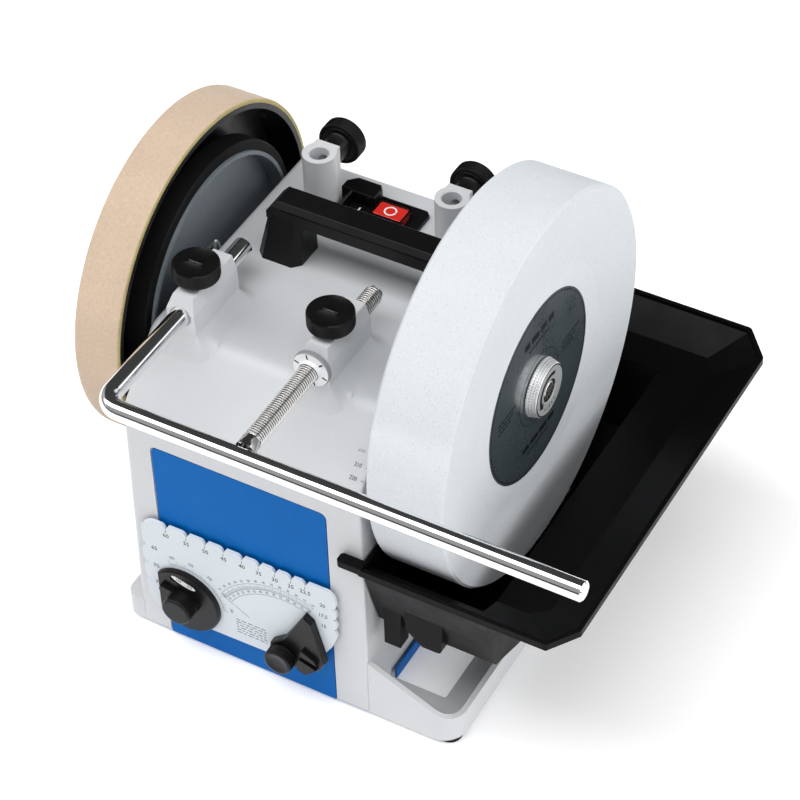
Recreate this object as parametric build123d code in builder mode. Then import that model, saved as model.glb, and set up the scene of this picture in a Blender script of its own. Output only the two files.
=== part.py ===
from build123d import *
import os

# Wet grinding sharpener: a water-cooled grinding wheel and a leather honing wheel on one slow
# shaft, driven by a motor whose spindle runs against a rubber tyred disc.
# Millimetres, +Z up, origin on the floor under the middle of the machine, +X along the shaft
# from the honing wheel to the grinding wheel, -Y is the operator's side.

os.makedirs("parts", exist_ok=True)

# ---------------------------------------------------------------- driving dimensions
SX, SY, SZ = 79.0, 4.65, 203.0      # shaft datum: axis at the grinding wheel's outer face

WHEEL_R, WHEEL_W = 125.0, 50.0      # grinding wheel
DISH = 4.3                          # depth of the wheel's dished sides
LABEL_R = 62.0
SHAFT_R = 6.0
RUN = 0.05                          # radial running clearance
HONE_R, HONE_W, HONE_X = 110.0, 31.0, -226.0
LEATHER = 3.0
DISC_R, DISC_X = 78.0, -221.5       # metal friction disc, its face next to the body
TYRE_R = 84.5
SPINDLE_R = 5.45

TOP_Z = 28.6                        # top of the housing above the shaft
BODY_L, BODY_R = -218.0, -57.0      # left and right sides
FRONT, BACK = -120.0, 96.0
BODY_B = -200.0                     # lower edge of the housing
FLOOR = -203.0
WALL = 4.0

BAR_R = 6.0                         # 12 mm support bar
BAR_Y, BAR_Z = -171.3, 48.1
LEG_L, LEG_R = -192.0, -102.0       # x of the two front sleeves and legs
LEG_END = -18.0
BAR_END = 110.0
SLEEVE_Y0, SLEEVE_Y1 = -89.0, -41.0
VS_Y, VS_Z = 50.0, 74.6             # vertical sleeves
VS_L, VS_R = -178.8, -88.0
KNOB_R, KNOB_H = 14.25, 10.0
KNOB_Y = -68.6
KNOB_Z = 64.0
RKNOB_Y, RKNOB_Z = 72.5, 64.5

TRAY_Z = -62.0                      # rim of the trough
TRAY_R, TRAY_F, TRAY_B = 79.6, -128.0, 168.0


def top(z):
    return Plane(origin=(SX, SY, SZ + z), x_dir=(1, 0, 0), z_dir=(0, 0, 1))


def side(x):
    return Plane(origin=(SX + x, SY, SZ), x_dir=(0, 1, 0), z_dir=(1, 0, 0))


def front(y):
    return Plane(origin=(SX, SY + y, SZ), x_dir=(1, 0, 0), z_dir=(0, -1, 0))


# The profile plane of everything turned about the shaft: local x along the shaft, local y = radius
LATHE = Plane(origin=(SX, SY, SZ), x_dir=(1, 0, 0), z_dir=(0, -1, 0))
SHAFT_AXIS = Axis((SX, SY, SZ), (1, 0, 0))


# ---------------------------------------------------------------- housing
CAVITY = ((FRONT + WALL, BODY_B - 1), (FRONT + WALL, -11.5), (-81.5, TOP_Z - WALL),
          (BACK - WALL, TOP_Z - WALL), (BACK - WALL, BODY_B - 1))
SCREWS = ((-209, -111), (-67, -111), (-209, 87), (-67, 87))
FEET = ((-226, -108), (-226, 84), (-6.5, -109), (-8, 84))
H_SCREWS = ((-186, 10), (-172, 10), (-72, 4), (-68, 15))
START, STOP = (-156, 54.5), (-136.5, 60.5)
GLAND = (-190, -165)

# side profile: flat top, 45 degree front slope, upright front and back
with BuildPart() as shell:
    with BuildSketch(side(BODY_R)) as hs:
        with BuildLine():
            Polyline((FRONT, BODY_B), (FRONT, -10), (-83.3, TOP_Z), (BACK, TOP_Z),
                     (BACK, BODY_B), close=True)
        make_face()
        fillet(hs.vertices().filter_by(lambda v: abs(v.Y + 10) < 0.1), 12)
        fillet(hs.vertices().group_by(Axis.Y)[-1].sort_by(Axis.X)[0], 14)
        fillet(hs.vertices().group_by(Axis.Y)[-1].sort_by(Axis.X)[-1], 8)
    extrude(amount=-(BODY_R - BODY_L + 8))

with BuildPart() as housing:
    add(shell.part)
    # the left side leans out towards the floor
    with BuildSketch(front(FRONT - 5)):
        with BuildLine():
            Polyline((BODY_L, 40), (BODY_L - 10, 40), (BODY_L - 10, BODY_B - 1),
                     (BODY_L - 6, BODY_B - 1), (BODY_L, TOP_Z), close=True)
        make_face()
    extrude(amount=-(BACK - FRONT + 10), mode=Mode.SUBTRACT)
    left_face = housing.faces().sort_by(Axis.X)[0]
    fillet(left_face.edges().filter_by(lambda e: e.center().Z > SZ + BODY_B + 2), 4)
    right_face = housing.faces().sort_by(Axis.X)[-1]
    fillet(right_face.edges().filter_by(lambda e: e.center().Z > SZ + BODY_B + 2), 1.5)
    # hollow inside, open below
    with BuildSketch(side(BODY_R - WALL - 2)):
        with BuildLine():
            Polyline(*CAVITY, close=True)
        make_face()
    extrude(amount=-(BODY_R - BODY_L - 2 * WALL - 2), mode=Mode.SUBTRACT)
    with BuildSketch(front(FRONT + WALL)):
        with BuildLine():
            Polyline((BODY_L + WALL, -117), (BODY_L + WALL - 5.3, BODY_B - 1),
                     (BODY_L + WALL + 1, BODY_B - 1), (BODY_L + WALL + 1, -117), close=True)
        make_face()
    extrude(amount=-(BACK - FRONT - 2 * WALL), mode=Mode.SUBTRACT)
    # holes that the rear sleeves pass through
    for x in (VS_L, VS_R):
        with BuildSketch(top(TOP_Z - 6)):
            with Locations((x, VS_Y)):
                Circle(9.5)
        extrude(amount=10, mode=Mode.SUBTRACT)
    # round relief in the left wall behind the drive disc and the honing wheel
    with BuildSketch(side(BODY_L)):
        Circle(113)
    extrude(amount=-12, mode=Mode.SUBTRACT)
    # ledge along the foot of the left side
    with BuildSketch(top(BODY_B)) as ledge:
        with BuildLine():
            Polyline((-221, FRONT), (-235, FRONT), (-235, BACK), (-221, BACK), close=True)
        make_face()
        fillet(ledge.vertices().sort_by(Axis.X)[:2], 8)
    extrude(amount=18)
    # shallow step in the right wall behind the front column
    with BuildSketch(side(BODY_R)):
        with BuildLine():
            Polyline((-93, BODY_B + 4), (-93, 5), (88, 5), (88, BODY_B + 4), close=True)
        make_face()
    extrude(amount=-2, mode=Mode.SUBTRACT)
    # inside: bosses for the shaft bushings and the motor's pivot pin, screw posts for the panel
    with BuildSketch(side(BODY_L + WALL - 0.5)):
        Circle(15)
    extrude(amount=8.5)
    with BuildSketch(side(BODY_L)):
        with Locations((60, -150)):
            Circle(9)
    extrude(amount=12)
    with BuildSketch(side(BODY_R - WALL - 1.5)):
        Circle(15)
        with Locations((60, -150)):
            Circle(9)
    extrude(amount=-8.5)
    with BuildSketch(side(BODY_L - 1)):
        Circle(9)
    extrude(amount=BODY_R - BODY_L + 2, mode=Mode.SUBTRACT)
    with BuildSketch(side(BODY_L + WALL)):
        with Locations((60, -150)):
            Circle(4)
    extrude(amount=BODY_R - BODY_L - 2 * WALL - 2, mode=Mode.SUBTRACT)
    with BuildSketch(top(BODY_B)):
        with Locations(*SCREWS):
            Circle(6.5)
    extrude(amount=14)
    with BuildSketch(top(BODY_B)):
        with Locations(*SCREWS):
            Circle(2)
    extrude(amount=10, mode=Mode.SUBTRACT)
    # the motor's spindle comes out through the left wall
    with BuildSketch(side(BODY_L - 1)):
        with Locations((46, -78)):
            Circle(14)
    extrude(amount=WALL + 2, mode=Mode.SUBTRACT)
    # switch cut-out, handle screw holes, cord inlet
    with BuildSketch(top(TOP_Z - 6)):
        with Locations((-145, 57.5)):
            Rectangle(46, 31)
    extrude(amount=10, mode=Mode.SUBTRACT)
    with BuildSketch(top(TOP_Z - 6)):
        with Locations(*H_SCREWS):
            Circle(2.5)
    extrude(amount=10, mode=Mode.SUBTRACT)
    with BuildSketch(front(BACK + 1)):
        with Locations(GLAND):
            Circle(6)
    extrude(amount=WALL + 2, mode=Mode.SUBTRACT)
    # shallow pocket for the front panel
    with BuildSketch(front(FRONT)) as pocket:
        with BuildLine():
            Polyline((-202, BODY_B - 1), (-202, -35.2), (-80.2, -35.2), (-80.2, BODY_B - 1),
                     close=True)
        make_face()
        fillet(pocket.vertices().sort_by(Axis.Y)[-2:], 4.6)
    extrude(amount=-1.2, mode=Mode.SUBTRACT)
    # seats for the rubber feet under the ledge and the loop
    with BuildSketch(top(BODY_B)):
        with Locations(*FEET):
            Circle(3)
    extrude(amount=3, mode=Mode.SUBTRACT)
housing.part.label = "housing"
export_step(housing.part, "parts/housing.step")

# ---------------------------------------------------------------- foot rail on the right
with BuildPart() as rail:
    # thin upright rim round a low floor
    with BuildSketch(top(BODY_B)) as loop_out:
        with BuildLine():
            Polyline((BODY_R, FRONT), (3, FRONT), (3, BACK), (BODY_R, BACK), close=True)
        make_face()
        fillet(loop_out.vertices().sort_by(Axis.X)[-2:], 16)
    extrude(amount=46)
    with BuildSketch(top(BODY_B + 4)) as loop_in:
        with BuildLine():
            Polyline((BODY_R, FRONT + 3.5), (-0.5, FRONT + 3.5), (-0.5, BACK - 3.5),
                     (BODY_R, BACK - 3.5), close=True)
        make_face()
        fillet(loop_in.vertices().sort_by(Axis.X)[-2:], 12.5)
    extrude(amount=60, mode=Mode.SUBTRACT)
    # the rim falls from the column to the corner
    with BuildSketch(front(FRONT - 5)):
        with BuildLine():
            Polyline((BODY_R, -154.5), (-8, -178), (-3, -180), (8, -181), (8, -140),
                     (BODY_R, -140), close=True)
        make_face()
    extrude(amount=-(BACK - FRONT + 10), mode=Mode.SUBTRACT)
    # opening in the floor
    with BuildSketch(top(BODY_B - 1)) as loop_hole:
        with BuildLine():
            Polyline((BODY_R, -91), (-19.5, -91), (-19.5, 67), (BODY_R, 67), close=True)
        make_face()
        fillet(loop_hole.vertices().sort_by(Axis.X)[-2:], 1.5)
    extrude(amount=5, mode=Mode.SUBTRACT)
    # seats for the rubber feet
    with BuildSketch(top(BODY_B)):
        with Locations(*FEET):
            Circle(3)
    extrude(amount=3, mode=Mode.SUBTRACT)
rail.part.label = "foot_rail"
export_step(rail.part, "parts/foot_rail.step")

# ---------------------------------------------------------------- sleeves for the support legs
for name, x in (("left_front_sleeve", LEG_L), ("right_front_sleeve", LEG_R)):
    with BuildPart() as block:
        # prismatic block that sits on the top and the start of the slope
        with BuildSketch(front(SLEEVE_Y0)) as blk:
            with BuildLine():
                Polyline((x - 9.8, 12), (x - 9.8, 37), (x - 9.4, 51), (x - 6.5, 60.5),
                         (x + 6.5, 60.5), (x + 9.4, 51), (x + 9.8, 37), (x + 9.8, 12),
                         close=True)
            make_face()
            fillet(blk.vertices().group_by(Axis.Y)[-1], 1.2)
        extrude(amount=-(SLEEVE_Y1 - SLEEVE_Y0))
        # sloped upper front edge
        with BuildSketch(side(x - 13)):
            with BuildLine():
                Polyline((SLEEVE_Y0 - 1, 49), (SLEEVE_Y0 + 5, 61), (SLEEVE_Y0 - 1, 61), close=True)
            make_face()
        extrude(amount=26, mode=Mode.SUBTRACT)
        add(shell.part, mode=Mode.SUBTRACT)
        # bore with chamfered mouth, and the clamp screw hole
        with BuildSketch(front(SLEEVE_Y0 - 2)):
            with Locations((x, BAR_Z)):
                Circle(BAR_R + RUN)
        extrude(amount=-(SLEEVE_Y1 - SLEEVE_Y0 + 4), mode=Mode.SUBTRACT)
        with BuildSketch(front(SLEEVE_Y0)):
            with Locations((x, BAR_Z)):
                Circle(BAR_R + 1.3)
        extrude(amount=-1.2, taper=44, mode=Mode.SUBTRACT)
        with BuildSketch(top(BAR_Z)):
            with Locations((x, KNOB_Y)):
                Circle(4 + RUN)
        extrude(amount=20, mode=Mode.SUBTRACT)
    block.part.label = name
    export_step(block.part, f"parts/{name}.step")

for name, x in (("left_rear_sleeve", VS_L), ("right_rear_sleeve", VS_R)):
    with BuildPart() as tube:
        # upright tube squared off at the back, its shank let down through the top
        with BuildSketch(top(TOP_Z)) as vs:
            with Locations((x, VS_Y)):
                Circle(10.5)
            with Locations((x, VS_Y + 5.5)):
                Rectangle(16, 11)
        extrude(amount=VS_Z - TOP_Z)
        with BuildSketch(top(-12)):
            with Locations((x, VS_Y)):
                Circle(9.5)
        extrude(amount=TOP_Z + 12)
        with BuildSketch(top(-13)):
            with Locations((x, VS_Y)):
                Circle(BAR_R + RUN)
        extrude(amount=VS_Z + 14, mode=Mode.SUBTRACT)
        with BuildSketch(top(VS_Z)):
            with Locations((x, VS_Y)):
                Circle(BAR_R + 0.9)
        extrude(amount=-0.8, taper=44, mode=Mode.SUBTRACT)
        with BuildSketch(front(VS_Y)):
            with Locations((x, RKNOB_Z)):
                Circle(4 + RUN)
        extrude(amount=-14, mode=Mode.SUBTRACT)
    tube.part.label = name
    export_step(tube.part, f"parts/{name}.step")

# ---------------------------------------------------------------- blue sheet panel
with BuildPart() as panel:
    # front face, let into the housing
    with BuildSketch(front(FRONT)) as pf:
        with BuildLine():
            Polyline((-201, -201.2), (-201, -36), (-81, -36), (-81, -201.2), close=True)
        make_face()
        fillet(pf.vertices().sort_by(Axis.Y)[-2:], 4)
    extrude(amount=-1.2)
    # floor of the machine
    with BuildSketch(top(-201.2)):
        with BuildLine():
            Polyline((-214, FRONT + 2), (-201, FRONT + 2), (-201, FRONT), (-81, FRONT),
                     (-81, FRONT + 2), (-58, FRONT + 2), (-58, -88), (-55.9, -88), (-55.9, 64),
                     (-58, 64), (-58, BACK - 3), (-214, BACK - 3), close=True)
        make_face()
    extrude(amount=1.2)
    # upturned edge on the right
    with BuildSketch(top(-201.2)):
        with BuildLine():
            Polyline((-56.9, -88), (-55.9, -88), (-55.9, 64), (-56.9, 64), close=True)
        make_face()
    extrude(amount=9)
    with BuildSketch(top(-202)):
        with Locations(*SCREWS):
            Circle(2)
    extrude(amount=4, mode=Mode.SUBTRACT)
panel.part.label = "blue_panel"
export_step(panel.part, "parts/blue_panel.step")

with BuildPart() as panel_screws:
    with BuildSketch(top(-202.6)):
        with Locations(*SCREWS):
            Circle(4)
    extrude(amount=1.4)
    with BuildSketch(top(-201.2)):
        with Locations(*SCREWS):
            Circle(2)
    extrude(amount=9)
panel_screws.part.label = "panel_screws"
export_step(panel_screws.part, "parts/panel_screws.step")

# ---------------------------------------------------------------- rubber feet
with BuildPart() as feet:
    with BuildSketch(top(FLOOR)):
        with Locations(*FEET):
            Circle(8)
    extrude(amount=3)
    fillet(feet.faces().sort_by(Axis.Z)[0:4].edges(), 0.8)
    with BuildSketch(top(BODY_B)):
        with Locations(*FEET):
            Circle(3)
    extrude(amount=3)
feet.part.label = "rubber_feet"
export_step(feet.part, "parts/rubber_feet.step")

# ---------------------------------------------------------------- carry handle
with BuildPart() as handle:
    # two splayed posts with cut corners
    for x0, x1, xt0, xt1 in ((-194, -164, -186, -164), (-78, -59, -78, -60)):
        with BuildSketch(top(TOP_Z)) as base:
            with BuildLine():
                Polyline((x0, -4.4), (x1, -4.4), (x1, 24.4), (x0, 24.4), close=True)
            make_face()
            chamfer(base.vertices(), 5)
        with BuildSketch(top(62)) as cap:
            with BuildLine():
                Polyline((xt0, -0.4), (xt1, -0.4), (xt1, 20.4), (xt0, 20.4), close=True)
            make_face()
            chamfer(cap.vertices(), 2.5)
        loft()
    # the grip
    with BuildSketch(side(-186.5)) as grip:
        with BuildLine():
            Polyline((-0.4, 59), (-0.4, 68.7), (2.6, 71.7), (17.4, 71.7), (20.4, 68.7),
                     (20.4, 59), close=True)
        make_face()
    extrude(amount=126.5)
    fillet(handle.faces().sort_by(Axis.Z)[-1].edges(), 1)
    ends = front(-5)
    with BuildSketch(ends):
        with BuildLine():
            Polyline((-190, 64), (-186.6, 64), (-178.5, 73), (-190, 73), close=True)
        make_face()
        with BuildLine():
            Polyline((-58, 66), (-59.9, 66), (-65, 73), (-58, 73), close=True)
        make_face()
    extrude(amount=-30, mode=Mode.SUBTRACT)
    # corners under the grip are eased
    for x, a in ((-164, 1), (-78, -1)):
        with BuildSketch(front(1)):
            with BuildLine():
                Polyline((x - a, 59.5), (x + 5 * a, 59.5), (x - a, 52), close=True)
            make_face()
        extrude(amount=-18)
    # groove along the upper front edge
    with BuildSketch(front(-0.4)):
        with BuildLine():
            Polyline((-177, 67.2), (-77, 67.2), (-77, 67.9), (-177, 67.9), close=True)
        make_face()
    extrude(amount=-0.5, mode=Mode.SUBTRACT)
    # recess in the underside for the soft insert, and pilot holes for the screws
    with BuildSketch(top(59)):
        with BuildLine():
            Polyline((-147, 3), (-97, 3), (-97, 17), (-147, 17), close=True)
        make_face()
    extrude(amount=3, mode=Mode.SUBTRACT)
    with BuildSketch(top(TOP_Z)):
        with Locations(*H_SCREWS):
            Circle(2.5)
    extrude(amount=12, mode=Mode.SUBTRACT)
handle.part.label = "carry_handle"
export_step(handle.part, "parts/carry_handle.step")

# soft insert let into the underside of the grip
with BuildPart() as lip:
    with BuildSketch(top(57)):
        with BuildLine():
            Polyline((-147, 3), (-97, 3), (-97, 17), (-147, 17), close=True)
        make_face()
    extrude(amount=5)
    fillet(lip.faces().sort_by(Axis.Z)[0].edges(), 1)
lip.part.label = "grip_insert"
export_step(lip.part, "parts/grip_insert.step")

with BuildPart() as handle_screws:
    with BuildSketch(top(TOP_Z - WALL - 3)):
        with Locations(*H_SCREWS):
            Circle(4.4)
    extrude(amount=3)
    with BuildSketch(top(TOP_Z - WALL)):
        with Locations(*H_SCREWS):
            Circle(2.5)
    extrude(amount=14)
handle_screws.part.label = "handle_screws"
export_step(handle_screws.part, "parts/handle_screws.step")

# ---------------------------------------------------------------- switch
with BuildPart() as sw:
    # bezel plate, notched round the rear sleeve
    with BuildSketch(top(TOP_Z)) as bz:
        with BuildLine():
            Polyline((-167, 39), (-117, 39), (-117, 77), (-175, 77), (-175, 62.5), (-167, 62.5),
                     close=True)
        make_face()
        chamfer(bz.vertices().filter_by(lambda v: v.X > -120 or v.Y > 76), 3)
    extrude(amount=2.6)
    # raised hood behind and beside the start button
    with BuildSketch(top(TOP_Z + 2.6)) as hood:
        with BuildLine():
            Polyline((-166, 46), (-164, 46), (-164, 62.5), (-148.4, 62.5), (-148.4, 72),
                     (-151, 75.5), (-167, 75.5), (-172.5, 70), (-172.5, 63.5), (-166, 63.5),
                     close=True)
        make_face()
    extrude(amount=10.4)
    chamfer(sw.faces().sort_by(Axis.Z)[-1].edges(), 0.7)
    # body of the switch below the top
    with BuildSketch(top(TOP_Z - 28)):
        with Locations((-145, 57.5)):
            Rectangle(46, 31)
    extrude(amount=28)
    for spot, w in ((START, 15.8), (STOP, 19.8)):
        with BuildSketch(top(TOP_Z - 8)):
            with Locations(spot):
                Rectangle(w, 12.8)
        extrude(amount=20, mode=Mode.SUBTRACT)
sw.part.label = "switch_body"
export_step(sw.part, "parts/switch_body.step")

with BuildPart() as start_button:
    with BuildSketch(top(TOP_Z - 4)) as sb:
        with Locations(START):
            Rectangle(15, 12)
        fillet(sb.vertices(), 1)
    extrude(amount=10)
    fillet(start_button.faces().sort_by(Axis.Z)[-1].edges(), 0.6)
start_button.part.label = "start_button"
export_step(start_button.part, "parts/start_button.step")

with BuildPart() as stop_button:
    with BuildSketch(top(TOP_Z - 4)) as sb2:
        with Locations(STOP):
            Rectangle(19, 12)
        fillet(sb2.vertices(), 1)
    extrude(amount=12.5)
    fillet(stop_button.faces().sort_by(Axis.Z)[-1].edges(), 0.6)
stop_button.part.label = "stop_button"
export_step(stop_button.part, "parts/stop_button.step")

# clear collar round the stop button, open above it
with BuildPart() as cover:
    with BuildSketch(top(TOP_Z + 2.6)) as cv:
        with Locations(STOP):
            Rectangle(22.4, 17.2)
        chamfer(cv.vertices(), 2)
        with Locations(STOP):
            Rectangle(20.2, 13.6, mode=Mode.SUBTRACT)
    extrude(amount=6.5)
cover.part.label = "switch_cover"
export_step(cover.part, "parts/switch_cover.step")

# ---------------------------------------------------------------- shaft and bushings
with BuildPart() as shaft:
    with BuildSketch(LATHE):
        with BuildLine():
            Polyline((-262, 0), (-262, 5.2), (-261, SHAFT_R), (-58.6, SHAFT_R), (-58.6, 8.6),
                     (-54, 8.6), (-54, SHAFT_R), (2.4, SHAFT_R), (3.0, 5.4), (3.0, 0), close=True)
        make_face()
    revolve(axis=SHAFT_AXIS)
    # cross hole for the hub pin
    with BuildSketch(top(-20)):
        with Locations((-226, 0)):
            Circle(1.5)
    extrude(amount=40, mode=Mode.SUBTRACT)
shaft.part.label = "main_shaft"
export_step(shaft.part, "parts/main_shaft.step")

with BuildPart() as lbush:
    with BuildSketch(LATHE):
        with BuildLine():
            Polyline((-219.2, SHAFT_R + RUN), (-219.2, 12), (-218, 12), (-218, 9),
                     (-206, 9), (-206, SHAFT_R + RUN), close=True)
        make_face()
    revolve(axis=SHAFT_AXIS)
lbush.part.label = "left_bushing"
export_step(lbush.part, "parts/left_bushing.step")

with BuildPart() as rbush:
    with BuildSketch(LATHE):
        with BuildLine():
            Polyline((-71.5, SHAFT_R + RUN), (-71.5, 9), (-60, 9), (-60, SHAFT_R + RUN),
                     close=True)
        make_face()
    revolve(axis=SHAFT_AXIS)
rbush.part.label = "right_bushing"
export_step(rbush.part, "parts/right_bushing.step")

with BuildPart() as flange:
    with BuildSketch(LATHE):
        with BuildLine():
            Polyline((-54, SHAFT_R), (-54, 24), (-46.2, 24), (-46.2, SHAFT_R), close=True)
        make_face()
    revolve(axis=SHAFT_AXIS)
flange.part.label = "inner_flange"
export_step(flange.part, "parts/inner_flange.step")

# ---------------------------------------------------------------- grinding wheel
with BuildPart() as wheel:
    with BuildSketch(LATHE) as ws:
        with BuildLine():
            Polyline((-WHEEL_W + DISH - 0.5, SHAFT_R), (-WHEEL_W + DISH - 0.5, 78), (-WHEEL_W - 0.5, 122.5),
                     (-WHEEL_W + 1.5, WHEEL_R), (-1.6, WHEEL_R), (0, 123.4),
                     (-DISH, 78), (-DISH, SHAFT_R), close=True)
        make_face()
    revolve(axis=SHAFT_AXIS)
wheel.part.label = "grinding_wheel"
export_step(wheel.part, "parts/grinding_wheel.step")

with BuildPart() as label:
    with BuildSketch(side(-DISH)):
        Circle(LABEL_R)
        Circle(12, mode=Mode.SUBTRACT)
    extrude(amount=0.3)
label.part.label = "wheel_label"
export_step(label.part, "parts/wheel_label.step")

with BuildPart() as nut:
    with BuildSketch(LATHE):
        with BuildLine():
            Polyline((-DISH + 0.3, 7.6), (-DISH + 0.3, 19.3), (-2.0, 19.5), (-1.6, 18.6), (2.9, 17.6),
                     (3.4, 17.0), (3.4, 7.6), (0.5, 7.6), (0.5, SHAFT_R + RUN), (-1.5, SHAFT_R + RUN),
                     (-1.5, 7.6), close=True)
        make_face()
    revolve(axis=SHAFT_AXIS)
nut.part.label = "wheel_nut"
export_step(nut.part, "parts/wheel_nut.step")

# ---------------------------------------------------------------- honing wheel
with BuildPart() as hone:
    with BuildSketch(LATHE):
        with BuildLine():
            Polyline((-257, 103), (-257, HONE_R - LEATHER), (HONE_X, HONE_R - LEATHER),
                     (HONE_X, 103.5), (-248, 102), (-248, 24), (-238, 24), (-238, SHAFT_R),
                     (-252, SHAFT_R), (-252, 98), close=True)
        make_face()
    revolve(axis=SHAFT_AXIS)
hone.part.label = "honing_wheel_hub"
export_step(hone.part, "parts/honing_wheel_hub.step")

with BuildPart() as leather:
    with BuildSketch(LATHE):
        with BuildLine():
            Polyline((-257, HONE_R - LEATHER), (-257, HONE_R - 0.8), (-256.2, HONE_R),
                     (HONE_X - 0.8, HONE_R), (HONE_X, HONE_R - 0.8), (HONE_X, HONE_R - LEATHER),
                     close=True)
        make_face()
    revolve(axis=SHAFT_AXIS)
leather.part.label = "honing_leather"
export_step(leather.part, "parts/honing_leather.step")

with BuildPart() as hknob:
    with BuildSketch(LATHE):
        with BuildLine():
            Polyline((-252.3, SHAFT_R + RUN), (-252.3, 16), (-255, 24), (-266, 24), (-268, 22),
                     (-268, 0), (-262.5, 0), (-262.5, SHAFT_R + RUN), close=True)
        make_face()
    revolve(axis=SHAFT_AXIS)
    # finger scallops round the rim
    with BuildSketch(side(-270)):
        with PolarLocations(29, 8):
            Circle(8)
    extrude(amount=14.5, mode=Mode.SUBTRACT)
hknob.part.label = "honing_knob"
export_step(hknob.part, "parts/honing_knob.step")

# ---------------------------------------------------------------- drive disc
with BuildPart() as disc:
    with BuildSketch(LATHE):
        with BuildLine():
            Polyline((DISC_X, 75.5), (DISC_X, DISC_R), (-237.8, DISC_R), (-237.8, 73),
                     (-234.5, 73), (-234.5, 24), (-238, 24), (-238, SHAFT_R), (-229.5, SHAFT_R),
                     (-229.5, 17), (-231.5, 17), (-231.5, 74), close=True)
        make_face()
    revolve(axis=SHAFT_AXIS)
    with BuildSketch(side(-240)):
        with PolarLocations(60, 3, start_angle=100):
            Circle(2.2)
    extrude(amount=20, mode=Mode.SUBTRACT)
disc.part.label = "drive_disc"
export_step(disc.part, "parts/drive_disc.step")

with BuildPart() as tyre:
    with BuildSketch(LATHE):
        with BuildLine():
            Polyline((-223.5, DISC_R), (-223.5, TYRE_R - 1), (-224.5, TYRE_R), (-236.8, TYRE_R),
                     (-237.8, TYRE_R - 1), (-237.8, DISC_R), close=True)
        make_face()
    revolve(axis=SHAFT_AXIS)
tyre.part.label = "drive_tyre"
export_step(tyre.part, "parts/drive_tyre.step")

# sprung wire pin through the shaft, in front of the disc's hub
with BuildPart() as pin:
    with BuildSketch(top(-11)):
        with Locations((-226, 0)):
            Circle(1.5)
    extrude(amount=35)
    with BuildSketch(top(22.5)):
        with Locations((-226, 0)):
            Circle(1.5)
    extrude(amount=1.5)
    with BuildSketch(front(1.5)):
        with BuildLine():
            Polyline((-227.5, 24), (-224.5, 24), (-222.3, 8.5), (-224.6, 8.5), close=True)
        make_face()
    extrude(amount=3)
pin.part.label = "hub_pin"
export_step(pin.part, "parts/hub_pin.step")

# ---------------------------------------------------------------- motor
MY, MZ = 45.0, -77.99               # motor axis in the shaft datum, spindle against the tyre
MOTOR = Plane(origin=(SX, SY + MY, SZ + MZ), x_dir=(1, 0, 0), z_dir=(0, -1, 0))
MOTOR_AXIS = Axis((SX, SY + MY, SZ + MZ), (1, 0, 0))

with BuildPart() as stator:
    with BuildSketch(side(-178)):
        with Locations((MY, MZ)):
            Circle(39)
            Circle(27, mode=Mode.SUBTRACT)
    extrude(amount=60)
stator.part.label = "motor_stator"
export_step(stator.part, "parts/motor_stator.step")

with BuildPart() as bells:
    with BuildSketch(MOTOR):
        with BuildLine():
            Polyline((-178, 39), (-178, 36), (-192, 31), (-192, 6.45), (-198, 6.45), (-198, 14),
                     (-195, 34), (-181, 41), (-174, 41), (-174, 39), close=True)
        make_face()
        with BuildLine():
            Polyline((-118, 39), (-118, 36), (-104, 31), (-104, 6.05), (-98, 6.05), (-98, 14),
                     (-101, 34), (-115, 41), (-122, 41), (-122, 39), close=True)
        make_face()
    revolve(axis=MOTOR_AXIS)
bells.part.label = "motor_end_bells"
export_step(bells.part, "parts/motor_end_bells.step")

with BuildPart() as rotor:
    with BuildSketch(MOTOR):
        with BuildLine():
            Polyline((-176, 6), (-176, 26.4), (-120, 26.4), (-120, 6), close=True)
        make_face()
    revolve(axis=MOTOR_AXIS)
rotor.part.label = "motor_rotor"
export_step(rotor.part, "parts/motor_rotor.step")

with BuildPart() as mshaft:
    with BuildSketch(MOTOR):
        with BuildLine():
            Polyline((-238, 0), (-238, 4.9), (-237.4, SPINDLE_R), (-200, SPINDLE_R), (-200, 6),
                     (-198, 6), (-198, 6.4), (-192, 6.4), (-192, 6), (-88, 6), (-88, 0),
                     close=True)
        make_face()
    revolve(axis=MOTOR_AXIS)
mshaft.part.label = "motor_shaft"
export_step(mshaft.part, "parts/motor_shaft.step")

with BuildPart() as fan:
    with BuildSketch(MOTOR):
        with BuildLine():
            Polyline((-96, 6), (-96, 12), (-94, 12), (-94, 30), (-92.5, 30), (-92.5, 12),
                     (-89, 12), (-89, 6), close=True)
        make_face()
    revolve(axis=MOTOR_AXIS)
    with BuildSketch(side(-92.5)):
        with Locations((MY, MZ)):
            with PolarLocations(21, 7):
                Rectangle(17, 2)
    extrude(amount=8)
fan.part.label = "cooling_fan"
export_step(fan.part, "parts/cooling_fan.step")

with BuildPart() as cradle:
    # saddle under the motor and two lugs that hang on the pivot pin
    with BuildSketch(side(-170)):
        with BuildLine():
            Polyline((MY - 24, -100), (MY - 24, -124), (MY + 30, -124), (MY + 30, -100),
                     close=True)
        make_face()
        with Locations((MY, MZ)):
            Circle(39, mode=Mode.SUBTRACT)
    extrude(amount=44)
    for x in (-166, -134):
        with BuildSketch(side(x)) as lug:
            with BuildLine():
                Polyline((MY - 6, -123), (MY + 30, -123), (71, -148), (60, -160), (49, -148),
                         close=True)
            make_face()
            fillet(lug.vertices().sort_by(Axis.Y)[0], 8)
        extrude(amount=4)
    with BuildSketch(side(-180)):
        with Locations((60, -150)):
            Circle(4.06)
    extrude(amount=60, mode=Mode.SUBTRACT)
cradle.part.label = "motor_cradle"
export_step(cradle.part, "parts/motor_cradle.step")

with BuildPart() as mpin:
    with BuildSketch(side(-214)):
        with Locations((60, -150)):
            Circle(4)
    extrude(amount=151)
mpin.part.label = "motor_pivot_pin"
export_step(mpin.part, "parts/motor_pivot_pin.step")

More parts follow.
